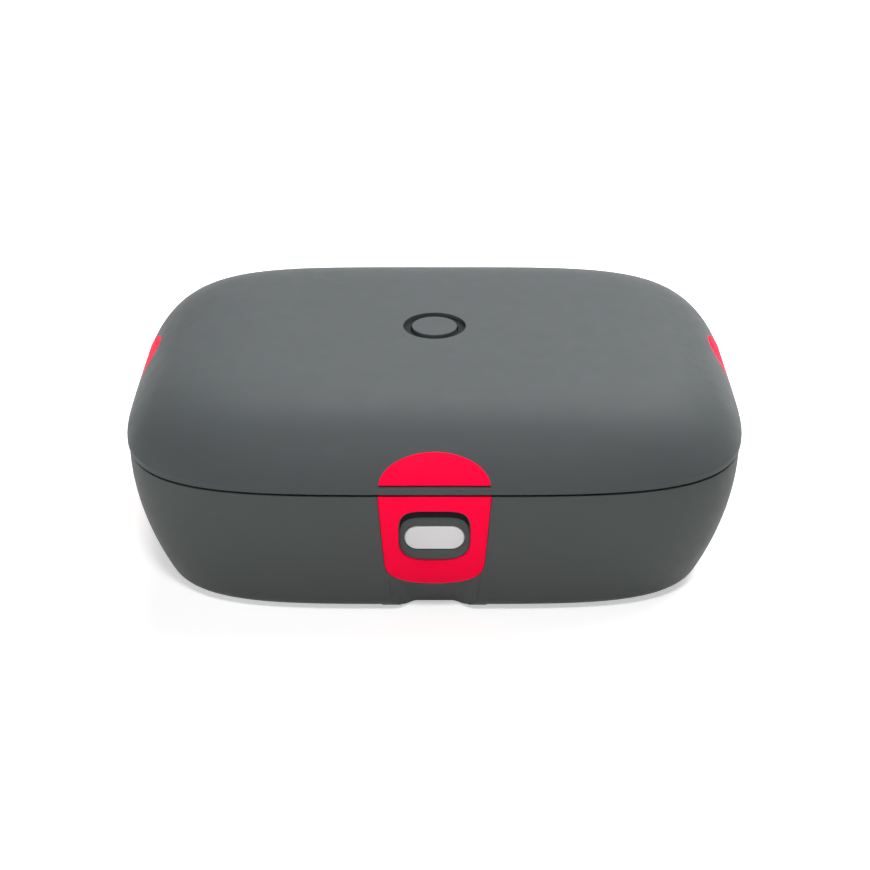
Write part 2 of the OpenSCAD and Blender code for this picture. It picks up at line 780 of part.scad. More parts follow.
// Blocks on the board, each as its place and its size, and two round cans
relay = [[-6, -20], [16, 19, 10]];
supply = [[-12, 6], [12, 14, 9]];
terminals = [[-10, -30], [20, 6, 7]];
can_x = 8;
can_y = [10, 22];
can_r = 4;
can_h = 11;
module control_board() {
    color(board_green) translate([board_x, 0, board_z]) {
        slab(board_w, board_l, 2, 0, board_t);
        for (block = [relay, supply, terminals])
            translate([block[0][0], block[0][1], board_t]) cube(block[1]);
        for (y = can_y) translate([can_x, y, board_t]) cylinder(r = can_r, h = can_h);
    }
}

// Power inlet at the rear: a housing flush with the wall, with a two-pin socket in it
socket_w = 16.8;
socket_h = 8.8;
socket_depth = 13;
socket_pin_r = 1.18;
socket_pitch = 8.6;
socket_pin_l = 9.5;
terminal_l = 6;
inlet_drop = seam_z - inlet_z;
socket_floor = base_inset(inlet_drop + inlet_h / 2) + socket_depth;
module at_inlet() {
    rotate(180) translate([0, -half_d, inlet_z]) children();
}
module through_inlet(shrink) {
    translate([0, inlet_reach, 0]) rotate([90, 0, 0]) linear_extrude(inlet_reach + pierce_out)
        polygon(rounded(inlet_w - 2 * shrink, inlet_h - 2 * shrink, 3, 6));
}
module power_inlet() {
    color(dark_grey) at_inlet() difference() {
        intersection() {
            through_inlet(fit);
            translate([0, 0, inlet_drop]) across_x(inlet_w + 2) polygon(concat(
                base_curve(0, inlet_drop - inlet_h, min(inlet_drop + inlet_h, base_reach)),
                [[inlet_reach, -inlet_drop - inlet_h], [inlet_reach, -inlet_drop + inlet_h]]));
        }
        translate([0, socket_floor, 0]) rotate([90, 0, 0])
            linear_extrude(socket_floor + pierce_out) polygon(rounded(socket_w, socket_h, 4.2, 8));
        inlet_pin_pair();
    }
}
module inlet_pin_pair() {
    for (x = [-socket_pitch / 2, socket_pitch / 2])
        translate([x, socket_floor - socket_pin_l, 0]) rotate([-90, 0, 0])
            cylinder(r = socket_pin_r, h = inlet_reach + terminal_l - socket_floor + socket_pin_l);
}
module inlet_pins() {
    color(brass) at_inlet() inlet_pin_pair();
}

// Wires: inlet to board, board to the element's pins
wire_r = 0.9;
wire_z = board_z + board_t + wire_r;
module wiring() {
    inlet_end = half_d - inlet_reach - terminal_l - wire_r - 0.05;
    board_edge = board_x - board_w / 2;
    pin_end = element_x + cold_pin_l + 0.1;
    color(rubber) {
        for (lane = [0, 1]) {
            start = (1 - 2 * lane) * socket_pitch / 2;
            sweep([[start - 2, inlet_end, inlet_z], [start + 6, inlet_end - lane * 3, inlet_z],
                [30, inlet_end - 3 - lane * 3, inlet_z - 2], [board_edge - 8, 50 - lane * 4, wire_z + 1],
                [board_edge - 2, 30 - lane * 4, wire_z], [board_edge + 1, 28 - lane * 4, wire_z],
                [board_edge + 3, 28 - lane * 4, wire_z]], wire_r, 6, [0, 0, 1]);
        }
        for (y = [-element_bend, element_bend])
            sweep([[pin_end, y, element_z], [pin_end + 2 * wire_r, y, element_z],
                [board_edge - 2, y * 0.95, wire_z + 5], [board_edge + 0.5, y * 0.9, wire_z + 0.5],
                [board_edge + 2.5, y * 0.9, wire_z]], wire_r, 6, [0, 1, 0]);
    }
}

// Food tray: pressed steel, hanging by its rim in the tub and standing on the heat plate
tray_gap = 1.5;
tray_round = 9;
tray_foot = tub_floor + plate_rise;
tray_top = liner_top + tray_t;
function tray_inset_at(z) = tub_inset_at(z) + tray_gap;
tray_rings = concat(
    [for (turn = [0:30:90]) let (z = tray_foot + tray_round * (1 - cos(turn)))
        seam_ring(tray_inset_at(z) + tray_round * (1 - sin(turn)), z)],
    [seam_ring(tray_inset_at(liner_top), liner_top), seam_ring(tub_inset - tray_lip, liner_top),
        seam_ring(tub_inset - tray_lip, tray_top),
        seam_ring(tray_inset_at(liner_top) + tray_t, tray_top)],
    [for (turn = [90:-30:0])
        let (z = tray_foot + tray_t + (tray_round - tray_t) * (1 - cos(turn)))
        seam_ring(tray_inset_at(z) + tray_t + (tray_round - tray_t) * (1 - sin(turn)), z)]);
module food_tray() {
    color(steel) loft(tray_rings);
}

// Lid
lid_flat_share = 0.3;
lid_shell_rings = concat(
    [lid_ring_at(lid_flat_share, lid_reach - lid_wall, lid_wall)],
    [for (climb = [84:-21:0]) lid_ring(climb, lid_wall)],
    [seam_ring(lid_wall, lid_z), seam_ring(edge_round, lid_z), seam_ring(0, lid_z + edge_round)],
    [for (climb = [0:6:84]) lid_ring(climb, 0)],
    [lid_ring_at(lid_flat_share, lid_reach, 0)]);
lid_boss_r = 3.5;
lid_boss_inset = 9;
lid_boss_rise = 12.2;
lid_boss_top = seam_z + lid_boss_rise;
lid_liner_low = lid_z + 0.4;
lid_liner_top = lid_liner_low + liner_t;
lid_top = seam_z + lid_reach;
vent_cut = 20;
module lid_shell() {
    color(lid_grey) difference() {
        union() {
            loft(lid_shell_rings);
            at_screws(lid_boss_inset) translate([0, 0, lid_liner_top])
                cylinder(r = lid_boss_r, h = lid_boss_top - lid_liner_top);
            lid_knuckles(0);
            translate([0, 0, lid_top - vent_seat - vent_ledge])
                cylinder(r = vent_ring_r + vent_rib, h = vent_seat);
        }
        for (side = [FRONT, LEFT, RIGHT]) at_latch(side) intersection() {
            across_x(accent_width(side) + 4) lid_strip(-accent_t - 2);
            through_y(accent_cut) polygon(accent_outline(side, fit));
        }
        base_knuckles(hinge_gap);
        for_hinges() hinge_round(0, hinge_pin_r + running, hinge_pin_l + 2);
        translate([0, 0, lid_top - vent_cut / 2]) cylinder(r = vent_tube_r + fit, h = vent_cut);
        translate([0, 0, lid_top - vent_seat]) cylinder(r = vent_ring_r + fit, h = vent_cut);
        at_screws(lid_boss_inset) translate([0, 0, lid_liner_low])
            cylinder(r = screw_r, h = screw_l);
    }
}

// A strip of the lid's side profile: its outer curve, and the same curve moved in and down. A
// negative front reaches outwards.
climbs = [0:6:66];
module lid_strip(front) {
    outer = concat([[0, rim_drop]], [for (climb = climbs) [lid_inset(climb), lid_rise(climb, 0)]]);
    shift = [accent_t, -accent_t];
    away = front < 0 ? [front, -front] : [0, 0];
    polygon(concat([for (p = outer) p + away],
        [for (k = [len(outer) - 1:-1:0]) outer[k] + shift]));
}
accent_cut = 40;
function accent_width(side) = side == FRONT ? accent_w : side_accent_w;
function accent_outline(side, grow) =
    [for (turn = [0:7.5:180]) [(accent_width(side) / 2 + grow) * cos(turn),
        accent_low + (turn == 0 || turn == 180 ? -grow : grow) + accent_h * sin(turn)]];
module lid_accent(side) {
    color(accent_red) at_latch(side) intersection() {
        across_x(accent_width(side) + 2) lid_strip(0);
        through_y(accent_cut) polygon(accent_outline(side, 0));
    }
}

// Lid liner: a shallow pan that closes the lid from below, with a groove for its seal
pan_inset = 24;
pan_slope = 8;
pan_top = seam_z + 15;
seal_inset = tub_inset - tray_lip + 1;
seal_groove = 1.4;
liner_clear = 0.8;
lid_liner_rings = [
    seam_ring(pan_inset + pan_slope, pan_top),
    seam_ring(pan_inset + pan_slope - 3, pan_top - 1),
    seam_ring(pan_inset, lid_liner_low + 1),
    seam_ring(pan_inset - 1, lid_liner_low),
    seam_ring(seal_inset + seal_w + fit, lid_liner_low),
    seam_ring(seal_inset + seal_w + fit, lid_liner_low + seal_groove),
    seam_ring(seal_inset - fit, lid_liner_low + seal_groove),
    seam_ring(seal_inset - fit, lid_liner_low),
    seam_ring(lid_wall + liner_clear, lid_liner_low),
    seam_ring(lid_wall + liner_clear, lid_liner_top),
    seam_ring(pan_inset - liner_t, lid_liner_top),
    seam_ring(pan_inset + pan_slope - 3 - liner_t, pan_top + 0.5),
    seam_ring(pan_inset + pan_slope - liner_t, pan_top + liner_t)];
vent_hole_r = 4.5;
module lid_liner() {
    color(liner_grey) difference() {
        loft(lid_liner_rings);
        translate([0, 0, pan_top - 1]) cylinder(r = vent_hole_r, h = liner_t + 2);
        at_screws(lid_boss_inset) {
            translate([0, 0, lid_liner_low - 1]) cylinder(r = screw_r + fit, h = liner_t + 2);
            translate([0, 0, lid_liner_low - 1]) cylinder(r = screw_head_r + fit, h = screw_head_t + 1);
        }
        for (side = [FRONT, LEFT, RIGHT]) at_latch(side)
            translate([-catch_w / 2 - fit, catch_depth - fit, 0])
                cube([catch_w + 2 * fit, catch_t + 2 * fit, lid_liner_top - seam_z + 1]);
    }
}

module lid_seal() {
    color(silicone) translate([0, 0, tray_top + free])
        linear_extrude(lid_liner_low + seal_groove - tray_top - free) difference() {
            polygon(seam_outline(seal_inset));
            polygon(seam_outline(seal_inset + seal_w));
        }
}

module lid_screws() {
    color(steel) at_screws(lid_boss_inset) translate([0, 0, lid_liner_low]) {
        cylinder(r = screw_head_r, h = screw_head_t);
        cylinder(r = screw_r, h = screw_l);
    }
}

// Lid catches: steel angles whose windows the hooks reach into
catch_leaf = 9;
module lid_catches() {
    leaf_z = lid_liner_top - seam_z;
    color(steel) for (side = [FRONT, LEFT, RIGHT]) at_latch(side) difference() {
        translate([-catch_w / 2, catch_depth, 0]) {
            translate([0, 0, -catch_drop]) cube([catch_w, catch_t, catch_drop + leaf_z + catch_t]);
            translate([0, 0, leaf_z]) cube([catch_w, catch_leaf, catch_t]);
        }
        translate([-window_w / 2, 0, -window_foot])
            cube([window_w, inner_clear, window_foot - window_top]);
    }
}

// Vent: a sprung button in a guide, whose stem holds a seal under the liner's vent hole
vent_gap = 0.35;
vent_bore_r = vent_button_r + vent_gap;
vent_tube_r = vent_bore_r + 1.4;
vent_flange_t = 1.4;
vent_seat = vent_sunk + vent_flange_t;
vent_ledge = 1;
vent_rib = 2;
vent_floor_t = 1.4;
vent_stem_r = 2.6;
vent_stem_free = 0.4;
vent_cap_t = 2;
vent_skirt = 4.6;
vent_skirt_t = 1.4;
vent_depth = vent_skirt + vent_travel + 1.9;
vent_seal_r = 7;
vent_seal_t = 1.6;
vent_seal_gap = 0.2;
module vent_housing() {
    color(dark_grey) translate([0, 0, lid_top]) difference() {
        rotate_extrude() polygon([
            [vent_bore_r, -vent_sunk], [vent_ring_r, -vent_sunk],
            [vent_ring_r, -vent_seat], [vent_tube_r, -vent_seat],
            [vent_tube_r, -vent_depth - vent_floor_t],
            [vent_stem_r + vent_stem_free, -vent_depth - vent_floor_t],
            [vent_stem_r + vent_stem_free, -vent_depth], [vent_bore_r, -vent_depth]]);
        for (turn = [45:90:315]) rotate(turn)
            translate([vent_bore_r - 2.5, 0, -vent_depth - vent_floor_t - 1])
                cylinder(r = 1.4, h = vent_floor_t + 2);
    }
}
vent_stem_foot = pan_top - vent_seal_gap - vent_seal_t;
module vent_button() {
    color(lid_grey) {
        translate([0, 0, lid_top]) rotate_extrude() polygon([
            [0, 0], [vent_button_r, 0], [vent_button_r, -vent_skirt],
            [vent_button_r - vent_skirt_t, -vent_skirt], [vent_button_r - vent_skirt_t, -vent_cap_t],
            [vent_stem_r, -vent_cap_t], [vent_stem_r, vent_stem_foot - lid_top],
            [0, vent_stem_foot - lid_top]]);
    }
}
vent_wire_r = 0.4;
vent_coil_r = 4.6;
vent_turns = 5;
module vent_spring() {
    rest_l = vent_depth - vent_cap_t - 2 * vent_wire_r - 0.1;
    color(steel) translate([0, 0, lid_top - vent_depth + vent_wire_r + 0.05])
        sweep(coil(vent_coil_r, rest_l, vent_turns), vent_wire_r, 5, [0, 0, 1]);
}
module vent_seal() {
    color(silicone) translate([0, 0, vent_stem_foot]) difference() {
        cylinder(r = vent_seal_r, h = vent_seal_t);
        translate([0, 0, -1]) cylinder(r = vent_stem_r, h = vent_seal_t + 2);
    }
}

base_shell();
bottom_cover();
feet();
cover_screws();
base_liner();
liner_screws();
food_tray();
heat_plate();
heating_element();
insulation_mat();
thermostat();
thermal_fuse();
control_board();
power_inlet();
inlet_pins();
wiring();
latch_plate(FRONT);  // latch_plate_front
latch_plate(LEFT);  // latch_plate_left
latch_plate(RIGHT);  // latch_plate_right
latch_cup(FRONT);  // latch_cup_front
latch_cup(LEFT);  // latch_cup_left
latch_cup(RIGHT);  // latch_cup_right
release_button(FRONT);  // release_button_front
release_button(LEFT);  // release_button_left
release_button(RIGHT);  // release_button_right
latch_hook(FRONT);  // latch_hook_front
latch_hook(LEFT);  // latch_hook_left
latch_hook(RIGHT);  // latch_hook_right
hook_spring(FRONT);  // hook_spring_front
hook_spring(LEFT);  // hook_spring_left
hook_spring(RIGHT);  // hook_spring_right
hook_pins();
hinge_pins();
lid_shell();
lid_accent(FRONT);  // lid_accent_front
lid_accent(LEFT);  // lid_accent_left
lid_accent(RIGHT);  // lid_accent_right
lid_liner();
lid_seal();
lid_screws();
lid_catches();
vent_housing();
vent_button();
vent_spring();
vent_seal();
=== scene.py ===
import json
import math
from contextlib import contextmanager

import bmesh
import bpy
import numpy as np
from mathutils import Matrix, Vector


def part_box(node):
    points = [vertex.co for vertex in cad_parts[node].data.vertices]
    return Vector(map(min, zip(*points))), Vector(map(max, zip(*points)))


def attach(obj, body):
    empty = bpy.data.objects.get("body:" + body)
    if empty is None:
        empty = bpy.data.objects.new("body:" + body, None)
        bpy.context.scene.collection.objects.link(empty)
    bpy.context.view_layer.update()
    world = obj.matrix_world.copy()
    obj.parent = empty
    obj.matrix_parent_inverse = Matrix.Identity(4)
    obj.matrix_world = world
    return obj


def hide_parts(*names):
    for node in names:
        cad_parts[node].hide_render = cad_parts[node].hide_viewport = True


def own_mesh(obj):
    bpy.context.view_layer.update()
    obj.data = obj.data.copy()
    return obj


# Looks of the heated lunch box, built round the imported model. The shapes below are worked out in
# millimetres in the frame's own axes, and become metres when a mesh is made.
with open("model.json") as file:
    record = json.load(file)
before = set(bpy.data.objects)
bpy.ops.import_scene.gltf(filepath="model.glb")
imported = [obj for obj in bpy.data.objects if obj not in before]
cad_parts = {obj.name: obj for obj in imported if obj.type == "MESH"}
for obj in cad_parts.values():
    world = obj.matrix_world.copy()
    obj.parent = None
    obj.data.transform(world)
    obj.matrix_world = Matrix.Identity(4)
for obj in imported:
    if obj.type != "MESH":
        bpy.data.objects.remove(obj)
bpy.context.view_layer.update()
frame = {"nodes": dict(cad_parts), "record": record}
NODES = frame["nodes"]
SLOTS = {row["node"]: row["material_slot"] for row in frame["record"]["subparts"]}
BODIES = {node: body for body, nodes in frame["record"]["behaviour"]["bodies"].items()
          for node in nodes}
MM = 0.001


def span(node):
    """Lowest and highest corner of a CAD node, in millimetres."""
    low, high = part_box(node)
    return np.array(low) / MM, np.array(high) / MM


def heights(node):
    return [corner[2] for corner in span(node)]


# ---- sizes taken from the frame
FRONT, LEFT, RIGHT = "front", "left", "right"
SIDES = (FRONT, LEFT, RIGHT)
lid_low, lid_high = span("lid_shell")
plate_low, plate_high = span("latch_plate_front")
base_low, _ = span("base_shell")
pin_low, pin_high = span("hinge_pins")
HALF_W = lid_high[0]
HALF_D = -lid_low[1]
SEAM_Z = (pin_low[2] + pin_high[2]) / 2
HINGE_Y = (pin_low[1] + pin_high[1]) / 2
HINGE_PIN_R = (pin_high[2] - pin_low[2]) / 2
RIM_DROP = SEAM_Z - plate_high[2]
RIM_SHOWN = RIM_DROP + 0.25
BASE_REACH = SEAM_Z - base_low[2]
LID_REACH = lid_high[2] - SEAM_Z
PLATE_W = plate_high[0] - plate_low[0]
PLATE_DROP = SEAM_Z - plate_low[2]

# ---- shape of the two shells
SEAM_POWER, TOP_POWER, UNDER_POWER = 4.26, 5.0, 4.5
BASE_TAPER, TAPER_POWER, UNDER_ROUND = 16.6, 1.85, 6.0
LID_OVER, OVER_FADE = 0.7, 4
LID_RIM, CROWN_POWER, SHOULDER_POWER = 3.0, 6.5, 1.17
BASE_WALL, FLOOR_T, LID_WALL, EDGE_ROUND = 3.0, 3.0, 2.6, 0.5
FIT, FREE, SNUG = 0.15, 0.3, 0.04
OUTLINE_SIDES = 320
CORNER_BUNCH = 0.6
AXIS_R = 1e-6


def mix(a, b, share):
    return a + (b - a) * share


def unit(v):
    return v / max(np.linalg.norm(v), 1e-9)


def quarter(steps):
    """(1 - cos, 1 - sin) at even turns over a quarter circle."""
    turns = [math.pi / 2 * k / steps for k in range(steps + 1)]
    return [(1 - math.cos(t), 1 - math.sin(t)) for t in turns]


def reach_at(turn, power):
    return (np.abs(np.cos(turn)) ** power + np.abs(np.sin(turn)) ** power) ** (-1 / power)


def outline_turns(sides):
    """Turns round an outline, bunched towards its corners."""
    corner = 4 * np.arange(sides) / sides
    return math.pi / 2 * (corner + CORNER_BUNCH * np.sin(2 * math.pi * corner) / (2 * math.pi))


def ring(half_x, half_y, power, z):
    turns = outline_turns(OUTLINE_SIDES)
    reach = reach_at(turns, power)
    return np.stack([half_x * reach * np.cos(turns), half_y * reach * np.sin(turns),
                     np.full(OUTLINE_SIDES, float(z))], axis=1)


def seam_ring(inset, z):
    return ring(HALF_W - inset, HALF_D - inset, SEAM_POWER, z)


def seam_point(inset, degrees, z):
    turn = math.radians(degrees)
    reach = reach_at(turn, SEAM_POWER)
    return (HALF_W - inset) * reach * math.cos(turn), (HALF_D - inset) * reach * math.sin(turn), z


def base_inset(drop):
    share = max(drop, 0) / BASE_REACH
    return BASE_TAPER * share ** TAPER_POWER + LID_OVER * max(1 - share, 0) ** OVER_FADE


def base_ring(drop, extra):
    inset = base_inset(drop) + extra
    power = mix(SEAM_POWER, UNDER_POWER, drop / BASE_REACH)
    return ring(HALF_W - inset, HALF_D - inset, power, SEAM_Z - drop)


def lid_share(climb):
    return max(math.cos(climb), 0) ** (2 / CROWN_POWER)


def lid_rise(climb, wall=0.0):
    return LID_RIM + (LID_REACH - wall - LID_RIM) * math.sin(climb) ** (2 / SHOULDER_POWER)


def lid_ring(climb, wall):
    share = lid_share(climb)
    depth = HALF_D - wall
    return ring(HALF_W - wall - depth * (1 - share), depth * share,
                mix(SEAM_POWER, TOP_POWER, 1 - share), SEAM_Z + lid_rise(climb, wall))


# ---- mesh making
def linked(name, data):
    """A new object in the scene."""
    made = bpy.data.objects.new(name, data)
    bpy.context.scene.collection.objects.link(made)
    return made


@contextmanager
def edited(mesh):
    """A mesh opened for editing, and written back."""
    bm = bmesh.new()
    bm.from_mesh(mesh)
    yield bm
    bm.to_mesh(mesh)
    bm.free()


def make(name, verts, faces):
    """A new object from points in millimetres."""
    mesh = bpy.data.meshes.new(name)
    mesh.from_pydata((np.asarray(verts, float) * MM).tolist(), [], faces)
    with edited(mesh) as bm:
        bmesh.ops.recalc_face_normals(bm, faces=bm.faces)
    return linked(name, mesh)


def strip_faces(rows, count):
    """Quads between successive closed rows of count points."""
    return [(k * count + i, k * count + (i + 1) % count,
             (k + 1) * count + (i + 1) % count, (k + 1) * count + i)
            for k in range(rows - 1) for i in range(count)]


def loft(name, rings, caps=True):
    """A closed solid through a stack of rings, or a closed tube of rings without caps."""
    count, rows = len(rings[0]), len(rings)
    if caps:
        faces = strip_faces(rows, count)
        faces += [tuple(range(count)), tuple(range((rows - 1) * count, rows * count))]
    else:
        faces = [tuple(v % (rows * count) for v in f) for f in strip_faces(rows + 1, count)]
    return make(name, np.concatenate(rings), faces)


def rounded(points, radii, steps=5, closed=True):
    """A polygon or open line with its corners rounded, each to its own radius."""
    points = [np.asarray(p, float) for p in points]
    if not hasattr(radii, "__len__"):
        radii = [radii] * len(points)
    out = []
    count = len(points)
    for i, p in enumerate(points):
        if not closed and i in (0, count - 1) or radii[i] <= 0:
            out.append(p)
            continue
        a, b = points[i - 1] - p, points[(i + 1) % count] - p
        la, lb = np.linalg.norm(a), np.linalg.norm(b)
        half = math.acos(np.clip(np.dot(a, b) / (la * lb), -1, 1)) / 2
        if half > math.radians(89):
            out.append(p)
            continue
        reach = min(radii[i] / math.tan(half), 0.48 * la, 0.48 * lb)
        r = reach * math.tan(half)
        middle = p + unit(a / la + b / lb) * r / math.sin(half)
        start, end = p + a / la * reach - middle, p + b / lb * reach - middle
        sweep_by = math.pi - 2 * half
        turn_way = 1 if start[0] * end[1] - start[1] * end[0] > 0 else -1
        for k in range(steps + 1):
            t = turn_way * sweep_by * k / steps
            out.append(middle + np.array([start[0] * math.cos(t) - start[1] * math.sin(t),
                                          start[0] * math.sin(t) + start[1] * math.cos(t)]))
    return np.array(out)


def even_turns(sides):
    return 2 * math.pi * np.arange(sides) / sides


def turned(name, profile, sides=96, at=(0, 0, 0)):
    """A solid of revolution about Z from a closed profile of [radius, height]."""
    turns = even_turns(sides)
    rings = [np.stack([r * np.cos(turns) + at[0], r * np.sin(turns) + at[1],
                       np.full(sides, h + at[2])], axis=1) for r, h in profile]
    if profile[0][0] > AXIS_R and profile[-1][0] > AXIS_R:
        return loft(name, rings, caps=False)
    piece = loft(name, rings)
    weld(piece, 1e-5)
    return piece


def prism(name, outline, place, depth_from, depth_to):
    """An outline of [a, b] drawn from one depth to another, with place(a, b, depth) to put it."""
    rings = [np.array([place(a, b, d) for a, b in outline]) for d in (depth_from, depth_to)]
    return loft(name, rings)


def across_x(a, b, d):
    return d, a, b


def through_y(a, b, d):
    return a, d, b


def upright(a, b, d):
    return a, b, d


def square_to(run):
    return np.cross(run, [0, 0, 1] if abs(run[2]) < 0.9 else [0, 1, 0])


def section(run, aside, r, sides):
    """A circle round the origin, square to run and starting at aside."""
    turns = even_turns(sides)
    return r * (np.outer(np.cos(turns), aside) + np.outer(np.sin(turns), np.cross(run, aside)))


def box_tool(name, x_half, y_from, y_to, z_from, z_to):
    return prism(name, [(-x_half, y_from), (x_half, y_from), (x_half, y_to), (-x_half, y_to)],
                 upright, z_from, z_to)


def rod(name, r, start, end, sides=48):
    """A round bar between two points."""
    start, end = np.array(start, float), np.array(end, float)
    run = unit(end - start)
    circle = section(run, unit(square_to(run)), r, sides)
    return loft(name, [circle + start, circle + end])


def smoothed(points, steps=8):
    """A Catmull-Rom line through the points."""
    points = [np.array(p, float) for p in points]
    padded = [2 * points[0] - points[1]] + points + [2 * points[-1] - points[-2]]
    line = []
    for a, b, c, d in zip(padded, padded[1:], padded[2:], padded[3:]):
        for k in range(steps):
            t = k / steps
            line.append(0.5 * (2 * b + (c - a) * t + (2 * a - 5 * b + 4 * c - d) * t * t
                               + (3 * b - a - 3 * c + d) * t ** 3))
    return line + [points[-1]]


def tube(name, path, r, sides=12):
    """A round bar along a path, its section carried along without twist."""
    path = [np.array(p, float) for p in path]
    last = len(path) - 1
    runs = [unit(path[min(i + 1, last)] - path[max(i - 1, 0)]) for i in range(last + 1)]
    aside = square_to(runs[0])
    rings = []
    for point, run in zip(path, runs):
        aside = unit(aside - run * np.dot(aside, run))
        rings.append(point + section(run, aside, r, sides))
    return loft(name, rings)


def copies(name, source, places):
    """One object of copies of a piece, one for each place, and the piece itself is used up."""
    made = []
    for place in places:
        mesh = source.data.copy()
        mesh.transform(place)
        made.append(linked(name, mesh))
    drop_object(source)
    return merged(name, made)


def placed_at(x, y, z, turn=0.0, upside_down=False):
    place = Matrix.Translation((x * MM, y * MM, z * MM)) @ Matrix.Rotation(turn, 4, "Z")
    return place @ Matrix.Rotation(math.pi, 4, "X") if upside_down else place


def pill(w, h, r, steps=10):
    return rounded([(-w / 2, -h / 2), (w / 2, -h / 2), (w / 2, h / 2), (-w / 2, h / 2)], r, steps)


# ---- mesh finishing
def weld(piece, distance):
    with edited(piece.data) as bm:
        bmesh.ops.remove_doubles(bm, verts=bm.verts, dist=distance)
        bmesh.ops.dissolve_degenerate(bm, edges=bm.edges, dist=distance)
        bmesh.ops.recalc_face_normals(bm, faces=bm.faces)


def settle(piece):
    """Applies a piece's modifiers."""
    seen = piece.evaluated_get(bpy.context.evaluated_depsgraph_get())
    mesh = bpy.data.meshes.new_from_object(seen)
    mesh.name = piece.name
    piece.modifiers.clear()
    piece.data = mesh


def drop_object(piece):
    bpy.data.objects.remove(piece, do_unlink=True)


def merged(name, pieces):
    """One object of all these pieces' meshes, which are used up."""
    bm = bmesh.new()
    for piece in pieces:
        part = piece.data.copy()
        part.transform(piece.matrix_world)
        bm.from_mesh(part)
        bpy.data.meshes.remove(part)
        drop_object(piece)
    mesh = bpy.data.meshes.new(name)
    bm.to_mesh(mesh)
    bm.free()
    return linked(name, mesh)


def combine(piece, others, operation):
    """Adds, cuts or keeps the shape of other solids, which are used up."""
    other = merged("tool", others) if len(others) > 1 else others[0]
    step = piece.modifiers.new(operation, "BOOLEAN")
    step.operation = operation
    step.solver = "EXACT"
    step.object = other
    settle(piece)
    drop_object(other)


def cut(piece, *others):
    combine(piece, list(others), "DIFFERENCE")


def add(piece, *others):
    combine(piece, list(others), "UNION")


def keep(piece, other):
    combine(piece, [other], "INTERSECT")


def smooth(piece, degrees):
    """Smooth shading, but for edges sharper than an angle."""
    mesh = piece.data
    mesh.polygons.foreach_set("use_smooth", [True] * len(mesh.polygons))
    mesh.set_sharp_from_angle(angle=math.radians(degrees))
    mesh.update()


def ease(piece, width, degrees=30):
    """Rounds the edges of a piece that are sharper than an angle."""
    step = piece.modifiers.new("ease", "BEVEL")
    step.width = width * MM
    step.segments = 2
    step.limit_method = "ANGLE"
    step.angle_limit = math.radians(degrees)
    settle(piece)


def level(piece):
    """Lets the large faces set the shading at their corners, so that flat faces look flat."""
    step = piece.modifiers.new("level", "WEIGHTED_NORMAL")
    step.keep_sharp = True
    settle(piece)


def copied(node, width):
    """A copy of a CAD node, its split corners and flat triangles joined and its edges rounded."""
    mesh = NODES[node].data.copy()
    for name in ("custom_normal", "sharp_edge", "sharp_face"):
        if name in mesh.attributes:
            mesh.attributes.remove(mesh.attributes[name])
    mesh.materials.clear()
    with edited(mesh) as bm:
        bmesh.ops.remove_doubles(bm, verts=bm.verts, dist=2e-6)
        bmesh.ops.dissolve_limit(bm, angle_limit=math.radians(0.4), verts=bm.verts, edges=bm.edges)
    piece = linked(node + "_eased", mesh)
    ease(piece, width)
    return piece


# ---- materials
def feed(tree, node, inputs):
    """Sets a shader node's inputs to values, or links them from other nodes' outputs."""
    for name, value in inputs.items():
        if isinstance(value, bpy.types.NodeSocket):
            tree.links.new(value, node.inputs[name])
        else:
            node.inputs[name].default_value = value


def new_node(tree, kind, inputs, **settings):
    made = tree.nodes.new("ShaderNode" + kind)
    for name, value in settings.items():
        setattr(made, name, value)
    feed(tree, made, inputs)
    return made


def material(name, color, roughness, metallic=0.0, specular=0.5):
    made = bpy.data.materials.new(name)
    made.use_nodes = True
    shader = made.node_tree.nodes["Principled BSDF"]
    feed(made.node_tree, shader, {"Base Color": (*color, 1), "Roughness": roughness,
                                  "Metallic": metallic, "Specular IOR Level": specular})
    return made, made.node_tree, shader


def object_noise(tree, scale, detail, stretch=(1, 1, 1)):
    """Noise fixed to the object: the output of a noise node."""
    place = new_node(tree, "TexCoord", {}).outputs["Object"]
    mapped = new_node(tree, "Mapping", {"Scale": stretch, "Vector": place}).outputs["Vector"]
    inputs = {"Scale": scale, "Detail": detail, "Vector": mapped}
    return new_node(tree, "TexNoise", inputs).outputs["Fac"]


def vary_color(tree, shader, noise, color, by):
    """The base colour drifts a little lighter and darker with the noise."""
    darker, lighter = [(*[min(c * (1 + way * by), 1) for c in color], 1) for way in (-1, 1)]
    drift = new_node(tree, "Mix", {"A": darker, "B": lighter, "Factor": noise}, data_type="RGBA")
    feed(tree, shader, {"Base Color": drift.outputs["Result"]})


def vary_roughness(tree, shader, noise, low, high):
    spread = new_node(tree, "MapRange", {"Value": noise, "From Min": 0.3, "From Max": 0.7,
                                         "To Min": low, "To Max": high})
    feed(tree, shader, {"Roughness": spread.outputs["Result"]})


def grain(tree, shader, noise, depth, edge=0.0):
    """Fine relief of a depth, and edges eased in the shading to a radius, both in millimetres."""
    inputs = {"Strength": 1.0, "Distance": depth * MM, "Height": noise}
    if edge:
        bevel = new_node(tree, "Bevel", {"Radius": edge * MM}, samples=6)
        inputs["Normal"] = bevel.outputs["Normal"]
    feed(tree, shader, {"Normal": new_node(tree, "Bump", inputs).outputs["Normal"]})


def moulded(name, color, roughness, grain_scale=2600, depth=0.012, by=0.03, edge=0.0, specular=0.4):
    """Moulded plastic: a fine spark texture, with slow drifts in colour and gloss."""
    made, tree, shader = material(name, color, roughness, specular=specular)
    vary_color(tree, shader, object_noise(tree, 55, 3), color, by)
    vary_roughness(tree, shader, object_noise(tree, 140, 5), roughness - 0.04, roughness + 0.04)
    grain(tree, shader, object_noise(tree, grain_scale, 2), depth, edge)
    return made


